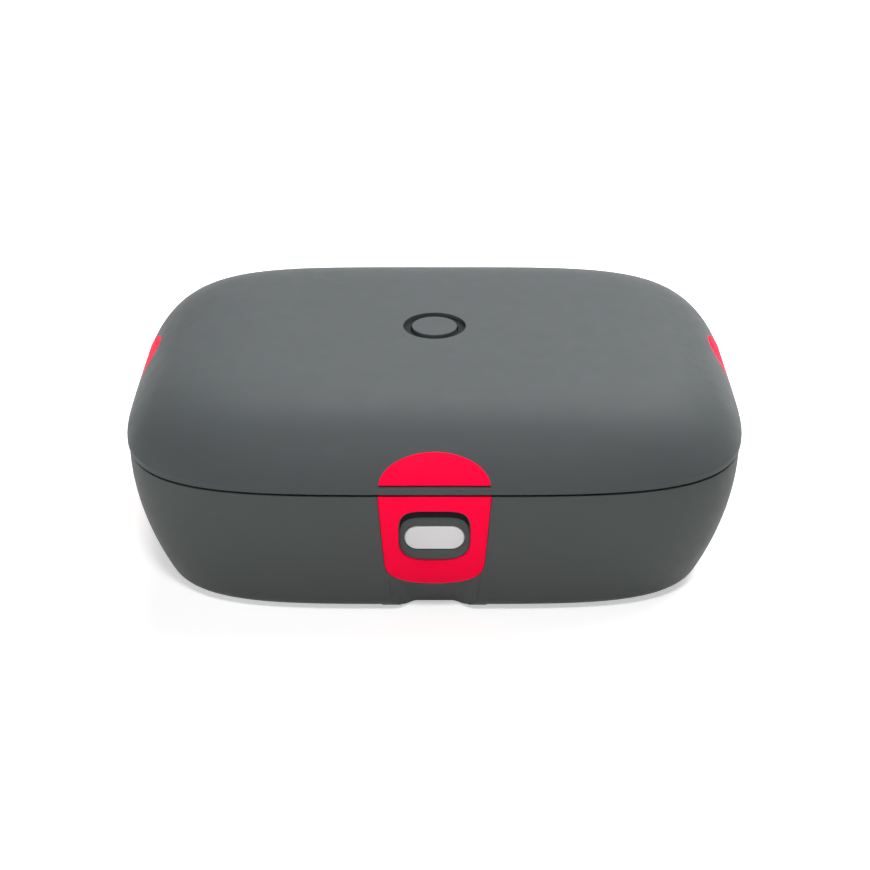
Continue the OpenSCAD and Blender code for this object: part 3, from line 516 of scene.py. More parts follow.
def brushed(name, color, roughness, stretch, scale=900, depth=0.006, by=0.06):
    """Metal with a grain drawn out along one way."""
    made, tree, shader = material(name, color, roughness, metallic=1.0)
    lines = object_noise(tree, scale, 6, stretch)
    vary_color(tree, shader, lines, color, by)
    vary_roughness(tree, shader, lines, roughness - 0.06, roughness + 0.08)
    grain(tree, shader, lines, depth)
    return made


CASE_COLOR = (0.067, 0.074, 0.072)
LID_COLOR = (0.064, 0.071, 0.0735)
DARK_COLOR = (0.010, 0.0115, 0.012)
ACCENT_COLOR = (0.95, 0.002, 0.045)
BUTTON_COLOR = (0.63, 0.63, 0.63)
SLOT_MATERIALS = {
    "case": moulded("case", CASE_COLOR, 0.55, edge=0.3, specular=0.08),
    "lid": moulded("lid", LID_COLOR, 0.52, edge=0.2, specular=0.08),
    "dark_plastic": moulded("dark_plastic", DARK_COLOR, 0.55, by=0.05, edge=0.2, specular=0.05),
    "accent": moulded("accent", ACCENT_COLOR, 0.55, 2200, 0.006, 0.02, 0.12, 0.03),
    "button": moulded("button", BUTTON_COLOR, 0.45, 2200, 0.005, 0.02, 0.0, 0.2),
    "liner": moulded("liner", (0.52, 0.53, 0.53), 0.5, by=0.02, edge=0.3),
    "tray_steel": brushed("tray_steel", (0.62, 0.62, 0.63), 0.28, (0.06, 1, 1)),
    "heat_plate": brushed("heat_plate", (0.62, 0.62, 0.64), 0.4, (1, 0.1, 1), 500, 0.01),
    "element": moulded("element", (0.07, 0.065, 0.06), 0.6, 1400, 0.02, 0.2),
    "felt": moulded("felt", (0.72, 0.69, 0.6), 0.95, 700, 0.25, 0.12),
    "steel": brushed("steel", (0.6, 0.61, 0.63), 0.3, (1, 1, 0.15), 1500, 0.004),
    "brass": brushed("brass", (0.78, 0.58, 0.25), 0.26, (1, 0.2, 1), 1500, 0.003),
    "board": moulded("board", (0.02, 0.13, 0.055), 0.35, 1200, 0.01, 0.12),
    "wire": moulded("wire", (0.03, 0.03, 0.032), 0.55, 1500, 0.01, 0.1),
    "rubber": moulded("rubber", (0.028, 0.028, 0.029), 0.75, 1800, 0.02, 0.15),
    "silicone": moulded("silicone", (0.78, 0.78, 0.75), 0.42, 1500, 0.006, 0.03),
}


def finish_piece(piece, degrees=30, node=None, slot=None):
    """Sets a new piece's material and shading, hangs it on its node's body and hides that node. A
    piece is named after the node it stands for, with a last word that says how it was made."""
    node = node or piece.name.rsplit("_", 1)[0]
    slot = slot or SLOTS[node]
    piece.data.materials.clear()
    piece.data.materials.append(SLOT_MATERIALS[slot])
    smooth(piece, degrees)
    if not piece.name.endswith("_wound"):
        level(piece)
    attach(piece, BODIES[node])
    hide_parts(node)


# ---- latches
LATCH_TURN = {FRONT: 0.0, LEFT: -math.pi / 2, RIGHT: math.pi / 2}
LATCH_REACH = {FRONT: HALF_D, LEFT: HALF_W, RIGHT: HALF_W}
side_low, side_high = span("latch_cup_right")
SET_BACK = (side_low[1] + side_high[1]) / 2
LATCH_ALONG = {FRONT: 0.0, LEFT: -SET_BACK, RIGHT: SET_BACK}


def at_latch(side, piece):
    """Puts a piece drawn in a latch's own frame (X along the wall, Y inwards, Z up from the seam)
    on its side of the box."""
    place = (Matrix.Rotation(LATCH_TURN[side], 4, "Z")
             @ Matrix.Translation((LATCH_ALONG[side] * MM, -LATCH_REACH[side] * MM, SEAM_Z * MM)))
    piece.data.transform(place)
    return piece


def at_latches(maker, *sizes):
    """The same piece made for all three sides."""
    return [at_latch(side, maker(*sizes)) for side in SIDES]


PIERCE = 4.0
PLATE_T, PLATE_FOOT_W, PLATE_ROUND = 1.6, 41.2, 14.8
FOOT_FLAT, FOOT_SOFT = 3.6, 2.2


def plate_half(drop):
    past = min(max(drop - PLATE_DROP + PLATE_ROUND, 0) / PLATE_ROUND, 1)
    half = mix(PLATE_W, PLATE_FOOT_W, drop / PLATE_DROP) / 2
    return half * (1 - past ** FOOT_FLAT) ** (1 / FOOT_SOFT)


def mirrored(half_line):
    """Right-hand points from top to foot, and their mirror images back up again."""
    return np.array(list(half_line) + [(-x, z) for x, z in reversed(half_line)])


def plate_outline():
    straight = np.linspace(RIM_DROP + 0.1, PLATE_DROP - PLATE_ROUND, 12)
    foot = [PLATE_DROP - PLATE_ROUND * (1 - k / 24) ** 1.9 for k in range(1, 24)]
    drops = list(straight) + foot + [PLATE_DROP - 0.002]
    return mirrored([(plate_half(d), -d) for d in drops])


def offset(outline, by):
    """A closed outline moved outwards by a distance, along the normal at each point."""
    ahead = np.roll(outline, -1, axis=0) - outline
    behind = outline - np.roll(outline, 1, axis=0)
    runs = np.array([unit(unit(a) + unit(b)) for a, b in zip(ahead, behind)])
    normals = runs[:, ::-1] * (1, -1)
    if np.sum((outline - outline.mean(axis=0)) * normals) < 0:
        normals = -normals
    return outline + by * normals


def inlay(name, outline, surface, depths):
    """A plate whose outline is mirrored left and right, lying on a surface that curves from top to
    foot. depths lists (outward offset, depth) pairs from the back to the front."""
    count = len(outline)
    rings = [np.array([surface(x, z, depth) for x, z in offset(outline, grow)])
             for grow, depth in depths]
    rungs = [(i, i + 1, count - 2 - i, count - 1 - i) for i in range(count // 2 - 1)]
    top = (len(rings) - 1) * count
    faces = strip_faces(len(rings), count)
    faces += rungs + [tuple(v + top for v in f) for f in rungs]
    return make(name, np.concatenate(rings), faces)


def base_face(x, z, depth):
    return x, base_inset(-z) + depth, z


def round_front(edge, back):
    """Back, side and rounded front edge of an inlay, as (offset, depth) pairs."""
    return [(0, back)] + [(-edge * c, edge * s) for c, s in quarter(4)]


recess_low, recess_high = span("latch_cup_front")
RECESS_W = recess_high[0] - recess_low[0] + 2 * FIT
RECESS_H = recess_high[2] - recess_low[2] + 2 * FIT
RECESS_DROP = SEAM_Z - (recess_high[2] + recess_low[2]) / 2
RECESS_TOP_POWER, RECESS_FOOT_POWER = 4.4, 3.1
RECESS_TOP = RECESS_DROP - RECESS_H / 2
RECESS_FOOT = RECESS_DROP + RECESS_H / 2


def recess_outline(grow, sides=96):
    points = []
    for turn in even_turns(sides):
        far = reach_at(turn, RECESS_TOP_POWER if turn < math.pi else RECESS_FOOT_POWER)
        points.append(((RECESS_W / 2 + grow) * far * math.cos(turn),
                       (RECESS_H / 2 + grow) * far * math.sin(turn) - RECESS_DROP))
    return np.array(points)


CHANNEL_W, CHANNEL_FOOT_W, CHANNEL_DEPTH, CHANNEL_FLAT = 40.0, 37.0, 6.8, 0.4
CHANNEL_START = PLATE_DROP - 4.8
CHANNEL_RUN = BASE_REACH - CHANNEL_START


def along_channel(start, end, drop):
    """Goes evenly from start to end down the channel."""
    return mix(start, end, (drop - CHANNEL_START) / CHANNEL_RUN)


def channel_edge(drop):
    return along_channel(base_inset(CHANNEL_START), base_inset(BASE_REACH), drop)


def channel_depth_at(drop):
    return along_channel(PLATE_T, CHANNEL_DEPTH, drop)


def channel_share(across):
    up = max(abs(across) - CHANNEL_FLAT, 0) / (1 - CHANNEL_FLAT)
    return 0.5 + 0.5 * math.cos(math.pi * up)


def channel_tool():
    """What the channel below a plate takes away: a flat floor between soft sides."""
    rings = []
    for drop in (CHANNEL_START, BASE_REACH + 2):
        half = along_channel(CHANNEL_W, CHANNEL_FOOT_W, drop) / 2
        arch = [(half * x, channel_edge(drop) + channel_depth_at(drop) * channel_share(x), -drop)
                for x in np.linspace(1, -1, 49)]
        rings.append(np.array([(half, channel_edge(drop) - 12, -drop)] + arch
                              + [(-half, channel_edge(drop) - 12, -drop)]))
    return loft("channel", rings)


def saddle():
    """The thicker wall behind a channel."""
    top, foot = CHANNEL_START - 3, BASE_REACH - FLOOR_T / 2
    drops = np.linspace(top, foot, 8)
    side = [(base_inset(d) + BASE_WALL / 2, -d) for d in drops]
    side += [(channel_edge(foot) + channel_depth_at(foot) + BASE_WALL, -foot),
             (channel_edge(CHANNEL_START) + PLATE_T + BASE_WALL / 2, -top)]
    half = CHANNEL_W / 2 + BASE_WALL
    return prism("saddle", side, across_x, -half, half)


# ---- hinge
KNUCKLE_R, LID_KNUCKLE, BASE_KNUCKLE = 2.9, 14.0, 9.0
HINGE_X = pin_high[0] - (LID_KNUCKLE + 2 * BASE_KNUCKLE + 2 * FREE) / 2
BASE_KNUCKLE_X = LID_KNUCKLE / 2 + FREE + BASE_KNUCKLE / 2


def hinge_rods(r, w, shifts=(0,)):
    """Round bars on the hinge's line, at the middles of its left and right part or shifted."""
    return [rod("knuckle", r, *[(x + shift + way * w / 2, HINGE_Y, SEAM_Z) for way in (-1, 1)], 64)
            for x in (-HINGE_X, HINGE_X) for shift in shifts]


def base_knuckles(grow):
    return hinge_rods(KNUCKLE_R + grow, BASE_KNUCKLE + 2 * grow, (-BASE_KNUCKLE_X, BASE_KNUCKLE_X))


def lid_knuckles(grow):
    return hinge_rods(KNUCKLE_R + grow, LID_KNUCKLE + 2 * grow)


def pin_bores():
    return hinge_rods(HINGE_PIN_R + 0.03, LID_KNUCKLE + 2 * BASE_KNUCKLE + 4)


# ---- base shell
BASE_INNER_ROUND = 4.0
cover_low, cover_high = span("bottom_cover")
COVER_L, COVER_W = cover_high[0] - cover_low[0], cover_high[1] - cover_low[1]
COVER_T, COVER_ROUND, COVER_LEDGE = 2.0, 30.0, 4.0
inlet_low, inlet_high = span("power_inlet")
INLET_W = inlet_high[0] - inlet_low[0] + 2 * FIT
INLET_H = inlet_high[2] - inlet_low[2] + 2 * FIT
INLET_Z = (inlet_high[2] + inlet_low[2]) / 2
INLET_ROUND, INLET_REACH = 3.0, 34.0

LINER_T = 2.0
TUB_BOSS_TOP = SEAM_Z - RIM_DROP - 0.2 - LINER_T
TUB_SCREW_INSET, LID_SCREW_INSET = 7, 9
BOSS_R, BOSS_L, COVER_BOSS_L, COVER_BORE_R = 4.0, 16.0, 8.0, 1.5
LID_BOSS_R, LID_BOSS_RISE = 3.5, 12.2
SCREW_TURNS = (30, 60, 120, 150, 210, 240, 300, 330)
COVER_SCREWS = [(x, y) for x in (-60, 60) for y in (-62, 62)]
PIVOT_DROP, PIVOT_DEPTH, PIVOT_R, EYE_R = 40.0, 13.0, 1.5, 3.0
EAR_T, EAR_MIDDLE = 2.5, 6.55


def screw_spots(inset):
    return [seam_point(inset, turn, 0) for turn in SCREW_TURNS]


def upright_rods(name, r, spots, z_from, z_to):
    return [rod(name, r, (x, y, z_from), (x, y, z_to), 32) for x, y, *_ in spots]


def ear(way):
    """One of the two ears that carry a latch's pivot pin, rounded at its end."""
    turns = np.linspace(math.pi / 2, -math.pi / 2, 17)
    side = [(base_inset(PIVOT_DROP - EYE_R) + BASE_WALL / 2, -PIVOT_DROP + EYE_R)]
    side += [(PIVOT_DEPTH + EYE_R * math.cos(t), -PIVOT_DROP + EYE_R * math.sin(t)) for t in turns]
    side += [(base_inset(PIVOT_DROP + EYE_R) + BASE_WALL / 2, -PIVOT_DROP - EYE_R)]
    middle = way * EAR_MIDDLE
    return prism("ear", side, across_x, middle - EAR_T / 2, middle + EAR_T / 2)


def base_shell():
    rings = [base_ring(BASE_REACH - UNDER_ROUND * c, UNDER_ROUND * s) for c, s in quarter(8)]
    rim_foot = RIM_SHOWN + EDGE_ROUND
    rings += [base_ring(d, 0) for d in np.linspace(BASE_REACH - UNDER_ROUND, rim_foot, 34)[1:]]
    rings += [base_ring(RIM_SHOWN + EDGE_ROUND * s, EDGE_ROUND * c) for c, s in quarter(3)[1:]]
    rings += [base_ring(RIM_SHOWN + EDGE_ROUND * c, BASE_WALL - EDGE_ROUND * s)
              for c, s in quarter(3)]
    inner_foot = BASE_REACH - FLOOR_T - BASE_INNER_ROUND
    rings += [base_ring(d, BASE_WALL) for d in np.linspace(2, inner_foot, 8)]
    rings += [base_ring(BASE_REACH - FLOOR_T - BASE_INNER_ROUND * c,
                        BASE_WALL + BASE_INNER_ROUND * s) for c, s in reversed(quarter(4)[:-1])]
    shell = loft("base_shell_smooth", rings)
    add(shell, *at_latches(saddle), *base_knuckles(0))
    under = base_low[2]
    cover_top = under + COVER_T
    add(shell, *upright_rods("boss", BOSS_R, screw_spots(TUB_SCREW_INSET), TUB_BOSS_TOP - BOSS_L,
                             TUB_BOSS_TOP),
        *upright_rods("boss", BOSS_R, COVER_SCREWS, cover_top, cover_top + COVER_BOSS_L))
    for way in (-1, 1):
        add(shell, *at_latches(ear, way))
    tools = lid_knuckles(FREE) + pin_bores()
    tools += upright_rods("bore", COVER_BORE_R, COVER_SCREWS, under - 1, under + 9)
    half_w = PLATE_W / 2 + FIT
    for side in SIDES:
        pivot = rod("pivot", PIVOT_R + 0.02, *[(x, PIVOT_DEPTH, -PIVOT_DROP) for x in (-10, 10)])
        pocket = inlay("pocket", plate_outline(), base_face, [(FIT, PLATE_T), (FIT, -PIERCE)])
        rim = box_tool("rim", half_w, -PIERCE, PLATE_T, -RIM_DROP - 0.4, 2)
        hole = prism("hole", recess_outline(0), through_y, -PIERCE, 12)
        tools += [at_latch(side, tool) for tool in (pivot, pocket, rim, hole, channel_tool())]
    seat = pill(COVER_L + 2 * FIT, COVER_W + 2 * FIT, COVER_ROUND, 16)
    opening = pill(COVER_L - 2 * COVER_LEDGE, COVER_W - 2 * COVER_LEDGE,
                   COVER_ROUND - COVER_LEDGE, 16)
    tools.append(prism("cover", seat, upright, under - 3, cover_top))
    tools.append(prism("opening", opening, upright, under - 1, under + FLOOR_T + 1))
    tools.append(prism("inlet", pill(INLET_W, INLET_H, INLET_ROUND) + (0, INLET_Z), through_y,
                       HALF_D - INLET_REACH, HALF_D + PIERCE))
    for tool in tools:
        cut(shell, tool)
    finish_piece(shell, 28)


base_shell()


# ---- lid shell
ACCENT_H, ACCENT_LOW, ACCENT_T = 11.7, 4.9, 1.1
vent_low, vent_high = span("vent_housing")
VENT_RING_R = vent_high[0]
VENT_FREE, VENT_WALL, VENT_FLANGE_T = 0.35, 1.4, 1.4
VENT_TUBE_R = span("vent_button")[1][0] + VENT_FREE + VENT_WALL
VENT_SUNK = lid_high[2] - vent_high[2]


def lid_depth_at(rise):
    """How far the lid has drawn in from the seam's outline at a height above the seam."""
    if rise <= LID_RIM:
        return 0.0
    climb = math.asin(((rise - LID_RIM) / (LID_REACH - LID_RIM)) ** (SHOULDER_POWER / 2))
    return HALF_D * (1 - lid_share(climb))


def lid_face(x, z, depth):
    """A point on the lid's outer face at a height above the seam, moved in and down by depth."""
    return x, lid_depth_at(z) + depth, z - (depth if depth > 0 else 0)


def accent_outline(side):
    low, high = span("lid_accent_" + side)
    width = (high - low)[0 if side == FRONT else 1]
    return mirrored([(width / 2 * math.sin(t), ACCENT_LOW + ACCENT_H * math.cos(t))
                     for t in np.linspace(0.02, math.pi / 2, 40)])


def lid_shell():
    climbs = np.radians(list(np.linspace(0, 30, 13)) + list(np.linspace(32.5, 89.8, 26)))
    rings = [lid_ring(math.radians(c), LID_WALL) for c in (89.8, 84, 70, 55, 40, 25, 12, 0)]
    low, top = SEAM_Z + RIM_DROP, lid_high[2]
    rings += [seam_ring(LID_WALL - EDGE_ROUND * c, low + EDGE_ROUND * s) for c, s in quarter(3)]
    rings += [seam_ring(EDGE_ROUND * s, low + EDGE_ROUND * c) for c, s in quarter(3)]
    rings += [lid_ring(c, 0) for c in climbs]
    shell = loft("lid_shell_smooth", rings)
    bosses = upright_rods("boss", LID_BOSS_R, screw_spots(LID_SCREW_INSET), low + 0.4 + LINER_T,
                          SEAM_Z + LID_BOSS_RISE)
    flange_foot = top - VENT_SUNK - VENT_FLANGE_T
    add(shell, *lid_knuckles(0), *bosses,
        rod("seat", VENT_RING_R + 2, (0, 0, flange_foot - 1), (0, 0, top - 1), 96))
    tools = base_knuckles(FREE) + pin_bores()
    tools += [at_latch(side, inlay("accent", accent_outline(side), lid_face,
                                   [(SNUG, ACCENT_T), (SNUG, -PIERCE)])) for side in SIDES]
    tools.append(rod("flange", VENT_RING_R + FIT, (0, 0, flange_foot), (0, 0, top + 9), 128))
    tools.append(rod("tube", VENT_TUBE_R + FIT, (0, 0, top - 10), (0, 0, top + 8), 128))
    for tool in tools:
        cut(shell, tool)
    finish_piece(shell, 28)


lid_shell()

# ---- plates and accents
for latch in SIDES:
    plate = inlay(f"latch_plate_{latch}_shaped", plate_outline(), base_face,
                  round_front(0.35, PLATE_T))
    cut(plate, prism("hole", recess_outline(0), through_y, -PIERCE, 12))
    finish_piece(at_latch(latch, plate))
    accent = inlay(f"lid_accent_{latch}_shaped", accent_outline(latch), lid_face,
                   round_front(0.12, ACCENT_T))
    finish_piece(at_latch(latch, accent))

# ---- finger cups and release buttons
RECESS_DEPTH, CUP_SUNK, CUP_LIP = 3.7, 0.9, 0.35
CUP_BACK, CUP_TOP_BACK, CUP_STEP_DROP, CUP_ROUND = 6.4, 5.0, 12.6, 1.1
# The second and third numbers: the thickness of a dark strip of painted shade at the back of each
# cup's top hollow, and that hollow's depth.
BEZEL_DROP, SHADE_STRIP_T, HOLLOW_BACK = 4.6, 0.35, CUP_TOP_BACK - 0.15
DISH_GROW = -FIT - CUP_LIP
SCOOP_TOP = base_inset(RECESS_TOP) + RECESS_DEPTH
SCOOP_FOOT = base_inset(RECESS_FOOT) + CUP_SUNK
BUTTON_W, BUTTON_H, BUTTON_ROUND, BUTTON_DROP = 25.4, 11.6, 5.7, 23.2
BUTTON_PROUD, BUTTON_FREE = 0.3, 0.25
FLANGE_DEPTH, FLANGE_T, FLANGE_LIP = 6.5, 0.8, 1.2
PAD_W, PAD_H, PAD_BACK = 8.0, 3.0, 8.1


def scoop(z):
    return mix(SCOOP_TOP, SCOOP_FOOT, (-z - RECESS_TOP) / RECESS_H)


def button_outline(grow):
    shape = pill(BUTTON_W + 2 * grow, BUTTON_H + 2 * grow, BUTTON_ROUND + grow, 12)
    return shape + (0, -BUTTON_DROP)


def crescent(name, depth_from, depth_to):
    """The strip between the dish's top edge and the bezel round the button."""
    strip = prism(name, recess_outline(DISH_GROW, 128), through_y, depth_from, depth_to)
    bezel = recess_outline(DISH_GROW + 0.02, 128) - (0, BEZEL_DROP)
    cut(strip, prism("bezel", bezel, through_y, depth_from - 1, depth_to + 1))
    return strip


def latch_cup(side):
    """A dished cup whose floor slopes outwards to the foot and meets its wall in a small round,
    with a dark strip of painted shade at the back of the hollow along its top edge."""
    name = "latch_cup_" + side
    cup = prism(name + "_dished", recess_outline(-FIT, 128), through_y, -2, 8)
    drops = np.linspace(RECESS_TOP - 1, RECESS_FOOT + 1, 28)
    profile = [(base_inset(d) + CUP_SUNK, -d) for d in drops]
    profile += [(CUP_BACK, -drops[-1]), (CUP_BACK, -CUP_STEP_DROP), (CUP_TOP_BACK, -CUP_STEP_DROP),
                (CUP_TOP_BACK, -drops[0])]
    keep(cup, prism("profile", profile, across_x, -RECESS_W, RECESS_W))
    steps = [(0, -9.0)] + [(-CUP_ROUND * c, -CUP_ROUND * s) for c, s in quarter(4)]
    rings = [np.array([(x, scoop(z) + off, z) for x, z in recess_outline(DISH_GROW + grow, 128)])
             for grow, off in steps]
    cut(cup, loft("dish", rings))
    cut(cup, crescent("hollow", -3, HOLLOW_BACK))
    cut(cup, prism("hole", button_outline(BUTTON_FREE), through_y, -4, 12))
    ease(cup, 0.12, 40)
    finish_piece(at_latch(side, cup))
    # A thin dark-plastic strip on the back of the hollow: painted shade where the cup's upper edge
    # casts its shadow.
    shade_strip = crescent("latch_grip_" + side, HOLLOW_BACK - SHADE_STRIP_T, HOLLOW_BACK)
    finish_piece(at_latch(side, shade_strip), node=name, slot="dark_plastic")


def release_button(side):
    """A pill-shaped button whose slightly domed face follows the slope of the cup's floor."""
    name = "release_button_" + side
    edge, dome, dome_reach = 0.55, 0.22, 5.5

    def face_ring(grow, off):
        return np.array([(x, scoop(z) - BUTTON_PROUD + off, z) for x, z in button_outline(grow)])

    def flat_ring(grow, depth):
        return np.array([(x, depth, z) for x, z in button_outline(grow)])

    rings = [flat_ring(FLANGE_LIP, FLANGE_DEPTH + FLANGE_T), flat_ring(FLANGE_LIP, FLANGE_DEPTH),
             flat_ring(0, FLANGE_DEPTH)]
    rings += [face_ring(-edge * c, dome + edge * s) for c, s in quarter(6)]
    rings += [face_ring(-g, dome * (1 - math.sin(math.pi / 2 * (g - edge) / (dome_reach - edge))))
              for g in np.linspace(edge, dome_reach, 9)[1:]]
    button = loft(name + "_domed", rings)
    add(button, prism("pad", pill(PAD_W, PAD_H, 0.5, 4) + (0, -BUTTON_DROP), through_y,
                      FLANGE_DEPTH + FLANGE_T - 0.2, PAD_BACK))
    finish_piece(at_latch(side, button))


for latch in SIDES:
    latch_cup(latch)
    release_button(latch)

# ---- vent
VENT_TOP = lid_high[2]
vent_button_low, vent_button_high = span("vent_button")
VENT_BUTTON_R = vent_button_high[0]
VENT_BORE_R = VENT_BUTTON_R + VENT_FREE
VENT_FLOOR, VENT_FLOOR_T = vent_low[2], 1.4
VENT_HOLE_R, VENT_HOLE_INSET = 1.4, 2.5
STEM_R, STEM_HOLE_R = 2.6, 3.0
STEM_FOOT = vent_button_low[2]
SKIRT_FOOT, SKIRT_T, VENT_CAP_T = VENT_TOP - 4.6, 1.4, 2.0
PAN_TOP = SEAM_Z + 15

sunk, flange_seat = VENT_TOP - VENT_SUNK, VENT_TOP - VENT_SUNK - VENT_FLANGE_T
vent_floor_top = VENT_FLOOR + VENT_FLOOR_T
housing = turned("vent_housing_turned", rounded(
    [(VENT_BORE_R, sunk), (VENT_RING_R, sunk), (VENT_RING_R, flange_seat),
     (VENT_TUBE_R, flange_seat), (VENT_TUBE_R, VENT_FLOOR), (STEM_HOLE_R, VENT_FLOOR),
     (STEM_HOLE_R, vent_floor_top), (VENT_BORE_R, vent_floor_top)],
    [0.35, 0.3, 0.2, 0.2, 0.4, 0.2, 0.2, 0.5]), 160)
for turn in np.radians([45, 135, 225, 315]):
    far = VENT_BORE_R - VENT_HOLE_INSET
    x, y = far * math.cos(turn), far * math.sin(turn)
    cut(housing, rod("hole", VENT_HOLE_R, (x, y, VENT_FLOOR - 1), (x, y, VENT_FLOOR + 3), 32))
finish_piece(housing)

cap_foot = VENT_TOP - VENT_CAP_T
button = turned("vent_button_turned", rounded(
    [(0.0, VENT_TOP), (VENT_BUTTON_R, VENT_TOP), (VENT_BUTTON_R, SKIRT_FOOT),
     (VENT_BUTTON_R - SKIRT_T, SKIRT_FOOT), (VENT_BUTTON_R - SKIRT_T, cap_foot), (STEM_R, cap_foot),
     (STEM_R, STEM_FOOT), (0.0, STEM_FOOT)], [0, 0.45, 0.3, 0.3, 0.4, 0.4, 0.25, 0], 5, False), 160)
finish_piece(button)

vent_seal_low, vent_seal_high = heights("vent_seal")
finish_piece(turned("vent_seal_turned", rounded(
    [(STEM_R, vent_seal_high), (4.8, vent_seal_high), (5.4, vent_seal_high - 0.35),
     (6.2, vent_seal_high), (7.0, vent_seal_high), (7.0, vent_seal_low), (STEM_R, vent_seal_low)],
    [0.1, 0.1, 0.3, 0.3, 0.4, 0.5, 0.1])))


# ---- springs
def coil_line(radius, length, turns, flat=0.8, steps=28):
    """A helix with closed ends: its first and last turns lie flat."""
    count = int(turns * steps)
    climb = np.array([min(1.0, k / steps / flat, (count - k) / steps / flat) for k in range(count)])
    heights = np.concatenate([[0], np.cumsum(climb)])
    heights *= length / heights[-1]
    turn = 2 * math.pi * np.arange(count + 1) / steps
    return [(radius * math.cos(t), radius * math.sin(t), h) for t, h in zip(turn, heights)]


spring_low, spring_high = span("hook_spring_front")
HOOK_SPRING_FOOT = spring_low[1] + HALF_D
HOOK_SPRING_L = spring_high[1] - spring_low[1]
HOOK_SPRING_END = HOOK_SPRING_FOOT + HOOK_SPRING_L
HOOK_SPRING_DROP, HOOK_WIRE_R, HOOK_COIL_R = 14.0, 0.35, 2.2
for latch in SIDES:
    line = [(x, HOOK_SPRING_FOOT + HOOK_WIRE_R + h, -HOOK_SPRING_DROP - y)
            for x, y, h in coil_line(HOOK_COIL_R, HOOK_SPRING_L - 2 * HOOK_WIRE_R, 3.5)]
    spring = at_latch(latch, tube(f"hook_spring_{latch}_wound", line, HOOK_WIRE_R, 10))
    finish_piece(spring, 60)
    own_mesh(spring)

coil_low, coil_high = heights("vent_spring")
VENT_WIRE_R, VENT_COIL_R, VENT_COIL_L = 0.4, 4.6, coil_high - coil_low
line = [(x, y, coil_low + VENT_WIRE_R + h)
        for x, y, h in coil_line(VENT_COIL_R, VENT_COIL_L - 2 * VENT_WIRE_R, 5)]
vent_spring = tube("vent_spring_wound", line, VENT_WIRE_R, 10)
finish_piece(vent_spring, 60)
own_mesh(vent_spring)

# ---- tub, tray, lid pan and seal
LINER_TOP = span("base_liner")[1][2]
LINER_UNDER = LINER_TOP - LINER_T
LINER_EDGE = HALF_W - span("base_liner")[1][0]
TRAY_FOOT, TRAY_RIM = heights("food_tray")
TUB_FLOOR = TRAY_FOOT - 2.0
TUB_INSET, TUB_TAPER, TUB_FLAT = 17.0, 5.5, 16
WINDOW_W, WINDOW_H, WINDOW_ROUND = 180.3, 110.3, 19.15
POST_R, POST_FREE = 3.7, 0.4
TRAY_GAP, TRAY_T, TRAY_LIP, TRAY_FLAT = 1.5, 0.8, 4.5, 30
CATCH_W, CATCH_T, CATCH_DEPTH = 16.0, 1.6, 5.4
HEAD_R, HEAD_T, SCREW_R, SCREW_L = 2.8, 1.2, 1.4, 9.0
THREAD_PITCH, THREAD_DEPTH = 0.65, 0.25


def tub_inset_at(z):
    return TUB_INSET + TUB_TAPER * (LINER_TOP - z) / (LINER_TOP - TUB_FLOOR)


def pan_loft(name, points, radii, steps=6):
    """A form through seam outlines, from an open line of (inset, height) with rounded corners."""
    return loft(name, [seam_ring(i, z) for i, z in rounded(points, radii, steps, False)])


def screw_seats(inset, low, shelf, high):
    """Holes for a ring of screws: narrow from low to the shelf, and wide from there to high."""
    narrow, wide = SCREW_R + FIT, HEAD_R + FIT
    steps = [(0, low), (narrow, low), (narrow, shelf), (wide, shelf), (wide, high), (0, high)]
    return [turned("hole", steps, 32, spot) for spot in screw_spots(inset)]


def catch_slots(free_x, free_y, z_from, z_to):
    """Openings for the lid's three catches."""
    return at_latches(box_tool, "slot", CATCH_W / 2 + free_x, CATCH_DEPTH - free_y,
                      CATCH_DEPTH + CATCH_T + free_y, z_from, z_to)


floor_edge = tub_inset_at(TUB_FLOOR)
tub = pan_loft("base_liner_smooth", [
    (floor_edge + TUB_FLAT, TUB_FLOOR - LINER_T), (floor_edge - LINER_T, TUB_FLOOR - LINER_T),
    (tub_inset_at(LINER_UNDER) - LINER_T, LINER_UNDER), (LINER_EDGE, LINER_UNDER),
    (LINER_EDGE, LINER_TOP), (TUB_INSET, LINER_TOP), (floor_edge, TUB_FLOOR),
    (floor_edge + TUB_FLAT, TUB_FLOOR)], [0, 8, 0.8, 0.2, 0.4, 1.2, 6, 0])
post_end = tub_inset_at(SEAM_Z - HOOK_SPRING_DROP) - FREE
add(tub, *at_latches(rod, "post", POST_R, (0, HOOK_SPRING_END + POST_FREE, -HOOK_SPRING_DROP),
                     (0, post_end, -HOOK_SPRING_DROP), 40))
cut(tub, prism("window", pill(WINDOW_W, WINDOW_H, WINDOW_ROUND, 16), upright,
               TUB_FLOOR - 4, TUB_FLOOR + 2))
cut(tub, *screw_seats(TUB_SCREW_INSET, LINER_UNDER - 1, LINER_TOP - HEAD_T, LINER_TOP + 1),
    *catch_slots(1.5, 0.8, -6, 2))
finish_piece(tub)

mouth = tub_inset_at(LINER_TOP) + TRAY_GAP
floor_in = tub_inset_at(TRAY_FOOT) + TRAY_GAP
lip = TUB_INSET - TRAY_LIP
finish_piece(pan_loft("food_tray_pressed", [
    (floor_in + TRAY_FLAT, TRAY_FOOT), (floor_in, TRAY_FOOT), (mouth, LINER_TOP), (lip, LINER_TOP),
    (lip, TRAY_RIM), (mouth + TRAY_T, TRAY_RIM), (floor_in + TRAY_T, TRAY_FOOT + TRAY_T),
    (floor_in + TRAY_FLAT, TRAY_FOOT + TRAY_T)], [0, 9, 0.7, 0.38, 0.38, 1.5, 8.2, 0], 8))

